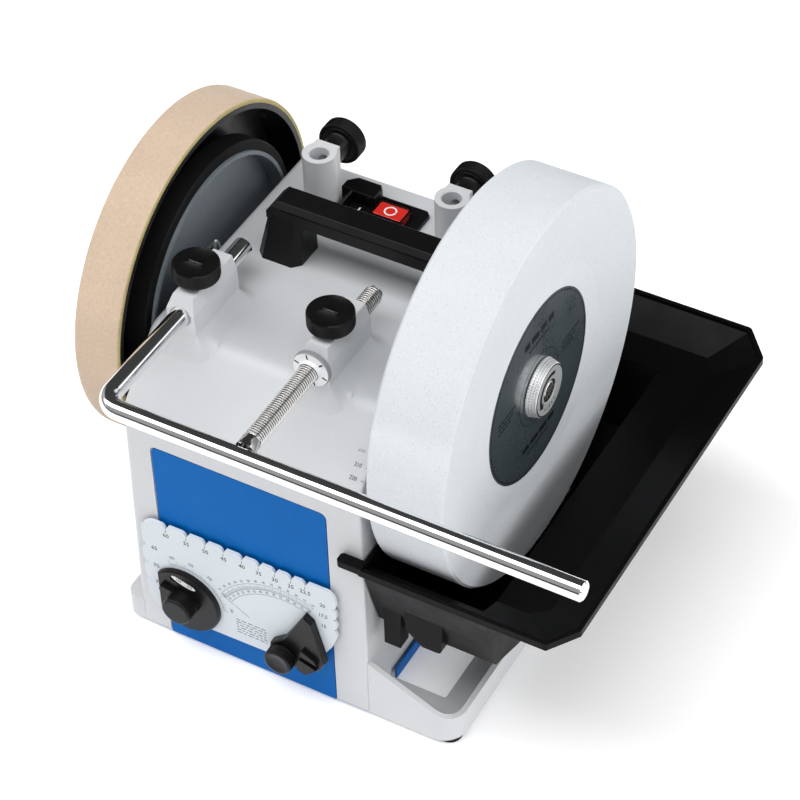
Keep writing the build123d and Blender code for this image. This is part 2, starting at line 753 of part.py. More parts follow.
with BuildPart() as capac:
    with BuildSketch(side(-170)) as cs:
        with Locations((-70, -170)):
            Circle(17)
    extrude(amount=62)
    fillet(capac.faces().sort_by(Axis.X)[-1].edges(), 2)
    with BuildSketch(side(-174)):
        with Locations((-76, -170), (-64, -170)):
            Rectangle(1, 6)
    extrude(amount=4)
capac.part.label = "capacitor"
export_step(capac.part, "parts/capacitor.step")

with BuildPart() as capcl:
    with BuildSketch(side(-150)):
        with Locations((-70, -170)):
            Circle(18.2)
        with Locations((-70, -194)):
            Rectangle(44, 12)
        with Locations((-70, -170)):
            Circle(17, mode=Mode.SUBTRACT)
    extrude(amount=16)
capcl.part.label = "capacitor_clamp"
export_step(capcl.part, "parts/capacitor_clamp.step")

with BuildPart() as termb:
    with BuildSketch(top(-200)):
        with Locations((-84, -60)):
            Rectangle(24, 52)
    extrude(amount=14)
    with BuildSketch(top(-186)):
        with Locations((-84, -78), (-84, -66), (-84, -54), (-84, -42)):
            Circle(3)
    extrude(amount=-8, mode=Mode.SUBTRACT)
termb.part.label = "terminal_block"
export_step(termb.part, "parts/terminal_block.step")

with BuildPart() as gland:
    with BuildSketch(front(BACK - WALL)):
        with Locations((-190, -165)):
            Circle(6)
    extrude(amount=-WALL)
    with BuildSketch(front(BACK)):
        with Locations((-190, -165)):
            Circle(9)
    extrude(amount=-3)
    with BuildSketch(front(BACK + 3)):
        with Locations((-190, -165)):
            Circle(7)
    extrude(amount=-14, taper=8)
    with BuildSketch(front(BACK - WALL)):
        with Locations((-190, -165)):
            Circle(9)
    extrude(amount=3)
    with BuildSketch(front(BACK - 8)):
        with Locations((-190, -165)):
            Circle(3.6)
    extrude(amount=-30, mode=Mode.SUBTRACT)
gland.part.label = "cord_gland"
export_step(gland.part, "parts/cord_gland.step")

# ---------------------------------------------------------------- universal support
BEND = 12.0
with BuildPart() as bar:
    with BuildLine() as path:
        FilletPolyline((SX + LEG_L, SY + LEG_END, SZ + BAR_Z), (SX + LEG_L, SY + BAR_Y, SZ + BAR_Z),
                       (SX + BAR_END, SY + BAR_Y, SZ + BAR_Z), radius=BEND)
    with BuildSketch(Plane(origin=(SX + LEG_L, SY + LEG_END, SZ + BAR_Z), x_dir=(1, 0, 0),
                           z_dir=(0, -1, 0))):
        Circle(BAR_R)
    sweep()
    chamfer(bar.faces().sort_by(Axis.X)[-1].edges(), 1)
    chamfer(bar.faces().filter_by(GeomType.PLANE).sort_by(Axis.Y)[-1].edges(), 0.8)
    # socket for the threaded leg
    with BuildSketch(front(BAR_Y)):
        with Locations((LEG_R, BAR_Z)):
            Circle(4)
    extrude(amount=-8, mode=Mode.SUBTRACT)
bar.part.label = "support_bar"
export_step(bar.part, "parts/support_bar.step")

with BuildPart() as leg:
    with BuildSketch(front(LEG_END)):
        with Locations((LEG_R, BAR_Z)):
            Circle(BAR_R)
    extrude(amount=-(BAR_Y - LEG_END) - 6.0)
    chamfer(leg.faces().sort_by(Axis.Y)[-1].edges(), 1)
    # the front end is scribed to the bar it is joined to, with a spigot in the socket
    with BuildSketch(side(LEG_R - 10)):
        with Locations((BAR_Y, BAR_Z)):
            Circle(BAR_R)
    extrude(amount=20, mode=Mode.SUBTRACT)
    with BuildSketch(front(BAR_Y + 7)):
        with Locations((LEG_R, BAR_Z)):
            Circle(4)
    extrude(amount=7)
leg.part.label = "threaded_leg"
export_step(leg.part, "parts/threaded_leg.step")

with BuildPart() as mnut:
    with BuildSketch(front(SLEEVE_Y0 - 0.2)):
        with Locations((LEG_R, BAR_Z)):
            Circle(12)
            Circle(BAR_R + RUN, mode=Mode.SUBTRACT)
    extrude(amount=4)
    with BuildSketch(front(SLEEVE_Y0 - 4.2)):
        with Locations((LEG_R, BAR_Z)):
            Circle(8)
            Circle(BAR_R + RUN, mode=Mode.SUBTRACT)
    extrude(amount=4)
mnut.part.label = "micro_adjust_nut"
export_step(mnut.part, "parts/micro_adjust_nut.step")

# ---------------------------------------------------------------- clamp knobs and studs
for name, x in (("left_front", LEG_L), ("right_front", LEG_R)):
    with BuildPart() as knob:
        with BuildSketch(top(KNOB_Z)):
            with Locations((x, KNOB_Y)):
                Circle(KNOB_R)
        extrude(amount=KNOB_H)
        fillet(knob.faces().sort_by(Axis.Z)[-1].edges(), 1)
        with BuildSketch(top(61.0)):
            with Locations((x, KNOB_Y)):
                Circle(8)
        extrude(amount=3)
        with BuildSketch(top(60.8)):
            with Locations((x, KNOB_Y)):
                Circle(4)
        extrude(amount=10, mode=Mode.SUBTRACT)
        # two shallow finger scoops leave a web across the top
        for dy in (-7.4, 7.4):
            with Locations((SX + x, SY + KNOB_Y + dy, SZ + KNOB_Z + KNOB_H + 15.2)):
                Sphere(17, mode=Mode.SUBTRACT)
    knob.part.label = name + "_knob"
    export_step(knob.part, "parts/" + name + "_knob.step")
    with BuildPart() as stud:
        with BuildSketch(top(BAR_Z + BAR_R + 0.3)):
            with Locations((x, KNOB_Y)):
                Circle(4)
        extrude(amount=70.8 - BAR_Z - BAR_R - 0.3)
    stud.part.label = name + "_stud"
    export_step(stud.part, "parts/" + name + "_stud.step")

for name, x in (("left_rear", VS_L), ("right_rear", VS_R)):
    with BuildPart() as knob:
        with BuildSketch(front(RKNOB_Y)):
            with Locations((x, RKNOB_Z)):
                Circle(KNOB_R)
        extrude(amount=-KNOB_H)
        fillet(knob.faces().sort_by(Axis.Y)[-1].edges(), 1)
        with BuildSketch(front(RKNOB_Y)):
            with Locations((x, RKNOB_Z)):
                Circle(8)
        extrude(amount=RKNOB_Y - VS_Y - 11.5)
        with BuildSketch(front(RKNOB_Y + 7)):
            with Locations((x, RKNOB_Z)):
                Circle(4)
        extrude(amount=30, mode=Mode.SUBTRACT)
        for dz in (-7.4, 7.4):
            with Locations((SX + x, SY + RKNOB_Y + KNOB_H + 15.2, SZ + RKNOB_Z + dz)):
                Sphere(17, mode=Mode.SUBTRACT)
    knob.part.label = name + "_knob"
    export_step(knob.part, "parts/" + name + "_knob.step")
    with BuildPart() as stud:
        with BuildSketch(front(RKNOB_Y + 7)):
            with Locations((x, RKNOB_Z)):
                Circle(4)
        extrude(amount=RKNOB_Y + 7 - VS_Y - 7)
    stud.part.label = name + "_stud"
    export_step(stud.part, "parts/" + name + "_stud.step")

# ---------------------------------------------------------------- water trough
TL = -55.6                          # side next to the housing
with BuildPart() as trough:
    # upright rim
    with BuildSketch(top(TRAY_Z - 5)) as tr:
        with BuildLine():
            Polyline((TL, TRAY_F), (66.6, TRAY_F), (TRAY_R, -109), (TRAY_R, 146), (61.6, TRAY_B),
                     (TL, TRAY_B), close=True)
        make_face()
        fillet(tr.vertices().filter_by(lambda v: v.X > 0), 4)
    extrude(amount=5)
    # underside: a shallow pan that falls from the rim towards the wheel
    with BuildSketch(top(TRAY_Z - 5)):
        with BuildLine():
            Polyline((TL, TRAY_F), (66.6, TRAY_F), (TRAY_R, -109), (TRAY_R, 146), (61.6, TRAY_B),
                     (TL, TRAY_B), close=True)
        make_face()
    with BuildSketch(top(TRAY_Z - 17)):
        with BuildLine():
            Polyline((TL, TRAY_F + 26), (42, TRAY_F + 26), (54, -92), (54, 130), (44, TRAY_B - 22),
                     (TL, TRAY_B - 22), close=True)
        make_face()
    loft()
    # deep pocket round the lower part of the wheel
    with BuildSketch(side(TL)):
        with BuildLine():
            Polyline((-124, TRAY_Z - 4), (-107, -124), (-60, -141), (60, -141), (107, -124),
                     (128, TRAY_Z - 10), (128, TRAY_Z - 5), (-124, TRAY_Z - 2), close=True)
        make_face()
    extrude(amount=24 - TL)
    # lugs under the front wall
    with BuildSketch(front(-112)):
        with BuildLine():
            Polyline((-49, -90), (-49, -138), (-38, -138), (-36.5, -90), close=True)
        make_face()
    extrude(amount=-10)
    with BuildSketch(front(-114)) as hk:
        with BuildLine():
            Polyline((-34, -80), (-33, -116), (-22, -126), (-9, -126), (-7, -80), close=True)
        make_face()
        fillet(hk.vertices().sort_by(Axis.Y)[:2], 3)
    extrude(amount=-10)
    # tongue in front of the housing's column
    with BuildSketch(top(TRAY_Z - 4)) as tg:
        with BuildLine():
            Polyline((-70.4, TRAY_F), (TL + 2, TRAY_F), (TL + 2, -120.6), (-70.4, -120.6),
                     close=True)
        make_face()
        chamfer(tg.vertices().sort_by(Axis.X)[:2], 1.5)
    extrude(amount=5)
    # hollow of the pan
    with BuildSketch(top(TRAY_Z - 2.6)) as ti:
        with BuildLine():
            Polyline((TL + 2.4, TRAY_F + 3), (65.4, TRAY_F + 3), (TRAY_R - 3, -107.8),
                     (TRAY_R - 3, 144.8), (60.4, TRAY_B - 3), (TL + 2.4, TRAY_B - 3), close=True)
        make_face()
        fillet(ti.vertices().filter_by(lambda v: v.X > 0), 3)
    extrude(amount=12, mode=Mode.SUBTRACT)
    with BuildSketch(top(TRAY_Z - 2.6)):
        with BuildLine():
            Polyline((TL + 2.4, TRAY_F + 3), (65.4, TRAY_F + 3), (TRAY_R - 3, -107.8),
                     (TRAY_R - 3, 144.8), (60.4, TRAY_B - 3), (TL + 2.4, TRAY_B - 3), close=True)
        make_face()
    with BuildSketch(top(TRAY_Z - 14.4)):
        with BuildLine():
            Polyline((TL + 2.4, TRAY_F + 28), (41, TRAY_F + 28), (52, -91), (52, 129), (43, TRAY_B - 24),
                     (TL + 2.4, TRAY_B - 24), close=True)
        make_face()
    loft(mode=Mode.SUBTRACT)
    # hollow of the pocket
    with BuildSketch(side(TL + 2.4)):
        with BuildLine():
            Polyline((-117, TRAY_Z + 1), (-117, TRAY_Z - 6), (-104.5, -121.6), (-59, -138), (59, -138),
                     (104.5, -121.6), (122, TRAY_Z - 6), (122, TRAY_Z + 1), close=True)
        make_face()
    extrude(amount=21 - TL - 2.4, mode=Mode.SUBTRACT)
trough.part.label = "water_trough"
export_step(trough.part, "parts/water_trough.step")

# magnet in the floor of the pocket, under the wheel
with BuildPart() as tmag:
    with BuildSketch(top(-138)):
        with Locations((-20, 20)):
            Rectangle(30, 60)
    extrude(amount=6)
tmag.part.label = "trough_magnet"
export_step(tmag.part, "parts/trough_magnet.step")

# ---------------------------------------------------------------- angle gauge
GY = -122.0                         # back of the gauge plate
PLATE_T = 2.0
TOP_CUTS = (-194.7, -179.8, -166.3, -153.2, -140.2, -128.4, -117.0, -105.8, -95.8)
LEFT_CUTS = (-121.5, -137.5, -153.0)
RIGHT_CUTS = (-112.0, -121.4, -130.4)
DIAL = (-184, -157.5)
PIVOT = (-112, -167)

with BuildPart() as gauge:
    # thin plate with a row of lobes and V cuts along the top and down both sides
    with BuildSketch(front(GY)) as gs:
        with BuildLine():
            ThreePointArc((-213.0, -112), (-210.5, -101.5), (-203, -97))
            px, pz = -203, -97
            for x in TOP_CUTS:
                Line((px, pz), (x - 3.0, -97.1))
                ThreePointArc((x - 3.0, -97.1), (x - 1.1, -98.2), (x, -100.8))
                Line((x, -100.8), (x + 2.3, -97.2))
                px, pz = x + 2.3, -97.2
            Line((px, pz), (-80, -97.2))
            ThreePointArc((-80, -97.2), (-76.6, -99.4), (-75, -104))
            px, pz = -75, -104
            for z in RIGHT_CUTS:
                ThreePointArc((px, pz), (-74.6, (pz + z + 0.8) / 2), (-75.8, z + 0.8))
                Line((-75.8, z + 0.8), (-77.6, z))
                Line((-77.6, z), (-75.8, z - 0.8))
                px, pz = -75.8, z - 0.8
            Polyline((px, pz), (-75, -136), (-79, -147), (-87, -160), (-94, -172), (-101, -177),
                     (-172, -178.2), (-203, -178.2), (-209.5, -173), (-212.4, -167),
                     (-213.4, -158))
            px, pz = -213.4, -158
            for z in reversed(LEFT_CUTS):
                ThreePointArc((px, pz), (-213.9, (pz + z - 1.4) / 2), (-212.4, z - 1.4))
                Line((-212.4, z - 1.4), (-209.8, z))
                Line((-209.8, z), (-212.4, z + 1.4))
                px, pz = -212.4, z + 1.4
            Line((px, pz), (-213.0, -112))
        make_face()
    extrude(amount=PLATE_T)
    with BuildSketch(front(GY)):
        with Locations(DIAL, PIVOT):
            Circle(3.05)
    extrude(amount=PLATE_T, mode=Mode.SUBTRACT)
gauge.part.label = "gauge_plate"
export_step(gauge.part, "parts/gauge_plate.step")

with BuildPart() as gmag:
    with BuildSketch(front(FRONT)):
        with Locations((-150, -120), (-134, -160)):
            Circle(6)
    extrude(amount=FRONT - GY)
gmag.part.label = "gauge_magnets"
export_step(gmag.part, "parts/gauge_magnets.step")

# wheel size dial: D shaped disc with a window, a raised rib and a round grip
with BuildPart() as dial:
    with BuildSketch(front(GY - PLATE_T - 0.1)) as ds:
        with Locations(DIAL):
            Circle(25)
        with Locations((DIAL[0] - 28.5, DIAL[1])):
            Rectangle(20, 60, mode=Mode.SUBTRACT)
    extrude(amount=3.4)
    chamfer(dial.faces().sort_by(Axis.Y)[0].edges(), 1)
    with BuildSketch(front(GY - PLATE_T - 3.5)) as rib:
        with BuildLine():
            Polyline((-200, -151), (-199, -147), (-172, -153.5), (-172, -157), close=True)
        make_face()
    extrude(amount=3)
    with BuildSketch(front(GY - PLATE_T - 0.1)):
        with Locations(DIAL):
            Circle(10)
    extrude(amount=14)
    fillet(dial.faces().sort_by(Axis.Y)[0].edges(), 1.5)
    # window
    with BuildSketch(front(GY - PLATE_T - 3.5)):
        with Locations(Location((DIAL[0] + 0.5, DIAL[1] + 16.5, 0), (0, 0, 1), -16)):
            SlotOverall(19, 5.5)
    extrude(amount=-0.8, mode=Mode.SUBTRACT)
    with BuildSketch(front(GY - PLATE_T - 0.2)):
        with Locations(DIAL):
            Circle(3)
    extrude(amount=-3)
dial.part.label = "gauge_dial"
export_step(dial.part, "parts/gauge_dial.step")

# pointer: wedge with a stepped foot, swinging on the clamp screw
with BuildPart() as pointer:
    with BuildSketch(front(GY - PLATE_T - 0.1)) as ps:
        with BuildLine():
            Polyline((-95.5, -123.5), (-90, -128), (-82, -160), (-86, -168), (-95, -176),
                     (-106, -174), (-112, -178), (-122, -170), (-121, -160), (-111, -151.5),
                     close=True)
        make_face()
        fillet(ps.vertices().sort_by(Axis.X)[:3], 2)
    extrude(amount=5)
    chamfer(pointer.faces().sort_by(Axis.Y)[0].edges(), 0.8)
    with BuildSketch(front(GY - PLATE_T - 5.1)):
        with BuildLine():
            Polyline((-97, -153), (-88, -158), (-86.5, -161.5), (-99, -158), close=True)
        make_face()
        with BuildLine():
            Polyline((-99, -162), (-87, -166), (-94.5, -174), (-101, -172), close=True)
        make_face()
    extrude(amount=2.5)
    with BuildSketch(front(GY - PLATE_T - 0.2)):
        with Locations(PIVOT):
            Circle(3)
    extrude(amount=-3)
    with BuildSketch(front(GY - PLATE_T - 2)):
        with Locations(PIVOT):
            Circle(2.05)
    extrude(amount=4, mode=Mode.SUBTRACT)
pointer.part.label = "gauge_pointer"
export_step(pointer.part, "parts/gauge_pointer.step")

with BuildPart() as gknob:
    with BuildSketch(front(GY - PLATE_T - 5.4)):
        with Locations(PIVOT):
            Circle(9.5)
    extrude(amount=7.5)
    fillet(gknob.faces().sort_by(Axis.Y)[0].edges(), 1.2)
    with BuildSketch(front(GY - PLATE_T - 2.2)):
        with Locations(PIVOT):
            Circle(2)
    extrude(amount=4)
gknob.part.label = "gauge_knob"
export_step(gknob.part, "parts/gauge_knob.step")
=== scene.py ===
import bpy, bmesh, math, random
from mathutils import Vector, Matrix, noise


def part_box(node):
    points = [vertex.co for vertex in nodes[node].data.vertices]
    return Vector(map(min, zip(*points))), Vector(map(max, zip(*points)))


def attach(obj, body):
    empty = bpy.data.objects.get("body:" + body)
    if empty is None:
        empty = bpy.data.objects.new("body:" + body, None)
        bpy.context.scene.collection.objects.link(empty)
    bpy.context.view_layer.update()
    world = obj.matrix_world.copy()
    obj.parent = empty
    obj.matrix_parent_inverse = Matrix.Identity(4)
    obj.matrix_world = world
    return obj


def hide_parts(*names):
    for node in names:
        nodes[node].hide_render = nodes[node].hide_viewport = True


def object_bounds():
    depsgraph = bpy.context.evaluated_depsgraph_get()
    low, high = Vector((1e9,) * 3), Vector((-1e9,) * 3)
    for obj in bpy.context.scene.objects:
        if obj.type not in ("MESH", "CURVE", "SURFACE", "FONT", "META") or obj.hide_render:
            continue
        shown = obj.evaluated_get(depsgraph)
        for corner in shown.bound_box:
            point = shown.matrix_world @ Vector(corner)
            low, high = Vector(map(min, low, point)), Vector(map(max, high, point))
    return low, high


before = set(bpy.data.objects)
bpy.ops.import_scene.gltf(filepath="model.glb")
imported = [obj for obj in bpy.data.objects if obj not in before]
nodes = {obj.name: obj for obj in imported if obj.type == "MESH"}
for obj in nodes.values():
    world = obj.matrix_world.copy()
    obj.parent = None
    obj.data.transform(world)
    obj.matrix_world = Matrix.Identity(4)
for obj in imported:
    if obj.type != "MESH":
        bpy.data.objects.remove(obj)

random.seed(7)
cad_box = [list(v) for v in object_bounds()]
scene = bpy.context.scene

# ------------------------------------------------------------------ datum on the shaft
_lo, _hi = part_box("grinding_wheel")
S = Vector((_hi.x, (_lo.y + _hi.y) / 2, (_lo.z + _hi.z) / 2))
FLOOR = cad_box[0][2]


def P(x, y, z):
    """Shaft datum in millimetres to the row frame in metres."""
    return S + Vector((x, y, z)) * 0.001


X, Y, Z = Vector((1, 0, 0)), Vector((0, 1, 0)), Vector((0, 0, 1))


# ------------------------------------------------------------------ materials
def node(nt, kind, **k):
    n = nt.nodes.new(kind)
    for a, v in k.items():
        setattr(n, a, v)
    return n


def coords(nt, scale=(1, 1, 1), loc=(0, 0, 0)):
    tc = node(nt, "ShaderNodeTexCoord")
    mp = node(nt, "ShaderNodeMapping")
    mp.inputs["Scale"].default_value = scale
    mp.inputs["Location"].default_value = loc
    nt.links.new(tc.outputs["Object"], mp.inputs["Vector"])
    return mp.outputs[0]


def noise_tex(nt, vec, scale, detail=3, rough=0.5, dist=0.0):
    n = node(nt, "ShaderNodeTexNoise")
    n.inputs["Scale"].default_value = scale
    n.inputs["Detail"].default_value = detail
    n.inputs["Roughness"].default_value = rough
    n.inputs["Distortion"].default_value = dist
    nt.links.new(vec, n.inputs["Vector"])
    return n.outputs["Fac"]


def remap(nt, val, a, b, c, d):
    m = node(nt, "ShaderNodeMapRange")
    m.inputs["From Min"].default_value = a
    m.inputs["From Max"].default_value = b
    m.inputs["To Min"].default_value = c
    m.inputs["To Max"].default_value = d
    nt.links.new(val, m.inputs["Value"])
    return m.outputs[0]


def math_node(nt, op, a, b=None):
    m = node(nt, "ShaderNodeMath", operation=op)
    for i, v in enumerate((a, b)):
        if v is None:
            continue
        if isinstance(v, (int, float)):
            m.inputs[i].default_value = v
        else:
            nt.links.new(v, m.inputs[i])
    return m.outputs[0]


def mix(nt, fac, a, b):
    m = node(nt, "ShaderNodeMix", data_type="RGBA")
    if isinstance(fac, (int, float)):
        m.inputs["Factor"].default_value = fac
    else:
        nt.links.new(fac, m.inputs["Factor"])
    for sock, v in ((m.inputs[6], a), (m.inputs[7], b)):
        if isinstance(v, (tuple, list)):
            sock.default_value = (*v[:3], 1)
        else:
            nt.links.new(v, sock)
    return m.outputs[2]


def bump(nt, height, strength, dist, normal=None):
    b = node(nt, "ShaderNodeBump")
    b.inputs["Strength"].default_value = strength
    b.inputs["Distance"].default_value = dist
    nt.links.new(height, b.inputs["Height"])
    if normal is not None:
        nt.links.new(normal, b.inputs["Normal"])
    return b.outputs[0]


def srgb(r, g, b):
    f = lambda c: c / 12.92 if c <= 0.04045 else ((c + 0.055) / 1.055) ** 2.4
    return (f(r / 255), f(g / 255), f(b / 255))


def scaled(c, k):
    return tuple(min(1.0, x * k) for x in c[:3])


def surface(name, base, rough=0.5, metal=0.0, var=0.06, var_scale=22, fine=0.05, fine_scale=900,
            rough_var=0.07, grain=0.12, grain_scale=1600, grain_dist=0.0001, dents=0.0,
            dents_scale=60, spec=0.5, coat=0.0, coat_rough=0.1, sheen=0.0, stretch=(1, 1, 1),
            marks=0.0, marks_color=None, extra=None):
    """A procedural finish: broad tone variation, fine speckle, uneven gloss and grain bump."""
    m = bpy.data.materials.new(name)
    m.use_nodes = True
    nt = m.node_tree
    nt.nodes.clear()
    out = node(nt, "ShaderNodeOutputMaterial")
    b = node(nt, "ShaderNodeBsdfPrincipled")
    nt.links.new(b.outputs[0], out.inputs[0])
    v = coords(nt)
    vs = coords(nt, stretch)
    broad = noise_tex(nt, v, var_scale, 4, 0.55)
    spots = noise_tex(nt, vs, fine_scale, 2, 0.6)
    t = math_node(nt, "ADD", math_node(nt, "MULTIPLY", remap(nt, broad, 0.3, 0.7, 0, 1), var / (var + fine)),
                  math_node(nt, "MULTIPLY", remap(nt, spots, 0.3, 0.7, 0, 1), fine / (var + fine)))
    col = mix(nt, t, scaled(base, 1 - var - fine), scaled(base, 1 + var + fine))
    if marks:
        # sparse worn specks
        w = noise_tex(nt, v, 260, 5, 0.75)
        wm = remap(nt, w, 0.66, 0.74, 0, marks)
        col = mix(nt, wm, col, marks_color or scaled(base, 1.6))
    nt.links.new(col, b.inputs["Base Color"])
    rn = noise_tex(nt, v, var_scale * 2.7, 5, 0.6)
    nt.links.new(remap(nt, rn, 0.3, 0.7, max(0.02, rough - rough_var), min(1, rough + rough_var)), b.inputs["Roughness"])
    b.inputs["Metallic"].default_value = metal
    b.inputs["Specular IOR Level"].default_value = spec
    b.inputs["Coat Weight"].default_value = coat
    b.inputs["Coat Roughness"].default_value = coat_rough
    b.inputs["Sheen Weight"].default_value = sheen
    nrm = None
    if grain:
        nrm = bump(nt, noise_tex(nt, vs, grain_scale, 3, 0.55), grain, grain_dist)
    if dents:
        nrm = bump(nt, noise_tex(nt, v, dents_scale, 3, 0.5), dents, 0.0005, nrm)
    if extra:
        nrm = extra(nt, b, v, col, nrm) or nrm
    if nrm is not None:
        nt.links.new(nrm, b.inputs["Normal"])
    return m


def radial(nt, centre):
    """Distance from the shaft axis through centre, in metres."""
    tc = node(nt, "ShaderNodeTexCoord")
    sub = node(nt, "ShaderNodeVectorMath", operation="SUBTRACT")
    nt.links.new(tc.outputs["Object"], sub.inputs[0])
    sub.inputs[1].default_value = centre
    mul = node(nt, "ShaderNodeVectorMath", operation="MULTIPLY")
    nt.links.new(sub.outputs[0], mul.inputs[0])
    mul.inputs[1].default_value = (0, 1, 1)
    ln = node(nt, "ShaderNodeVectorMath", operation="LENGTH")
    nt.links.new(mul.outputs[0], ln.inputs[0])
    return ln.outputs["Value"]


def turned(depth=0.25, pitch=0.0006):
    """Concentric turning marks round the shaft."""
    def f(nt, b, v, col, nrm):
        r = radial(nt, S)
        s = math_node(nt, "SINE", math_node(nt, "MULTIPLY", r, 2 * math.pi / pitch))
        return bump(nt, s, depth, 0.00004, nrm)
    return f


def stone_extra(nt, b, v, col, nrm):
    # open abrasive grain: pits of two sizes and darker grains
    vor = node(nt, "ShaderNodeTexVoronoi", feature="F1")
    vor.inputs["Scale"].default_value = 820
    nt.links.new(v, vor.inputs["Vector"])
    pits = remap(nt, vor.outputs["Distance"], 0.0, 0.55, 0, 1)
    vor2 = node(nt, "ShaderNodeTexVoronoi", feature="F1")
    vor2.inputs["Scale"].default_value = 330
    nt.links.new(v, vor2.inputs["Vector"])
    dark = remap(nt, vor2.outputs["Distance"], 0.06, 0.2, 0.38, 0)
    c2 = mix(nt, dark, col, srgb(150, 160, 168))
    nt.links.new(c2, b.inputs["Base Color"])
    n1 = bump(nt, pits, 0.35, 0.0003, nrm)
    return bump(nt, noise_tex(nt, v, 2600, 2, 0.6), 0.3, 0.0002, n1)


def suede_extra(nt, b, v, col, nrm):
    vor = node(nt, "ShaderNodeTexVoronoi", feature="F1")
    vor.inputs["Scale"].default_value = 700
    nt.links.new(v, vor.inputs["Vector"])
    f = noise_tex(nt, v, 420, 6, 0.75, 0.6)
    c2 = mix(nt, remap(nt, f, 0.35, 0.7, 0, 0.55), col, srgb(192, 166, 141))
    nt.links.new(c2, b.inputs["Base Color"])
    n1 = bump(nt, vor.outputs["Distance"], 0.25, 0.0003, nrm)
    return bump(nt, f, 0.35, 0.0004, n1)


def scratch_extra(nt, b, v, col, nrm):
    """Long faint handling scratches in the gloss."""
    vs = coords(nt, (14, 500, 500))
    s = noise_tex(nt, vs, 3, 2, 0.5, 0.3)
    r = remap(nt, s, 0.62, 0.7, 0, 0.12)
    base = b.inputs["Roughness"].links[0].from_socket
    nt.links.new(math_node(nt, "ADD", base, r), b.inputs["Roughness"])
    return nrm


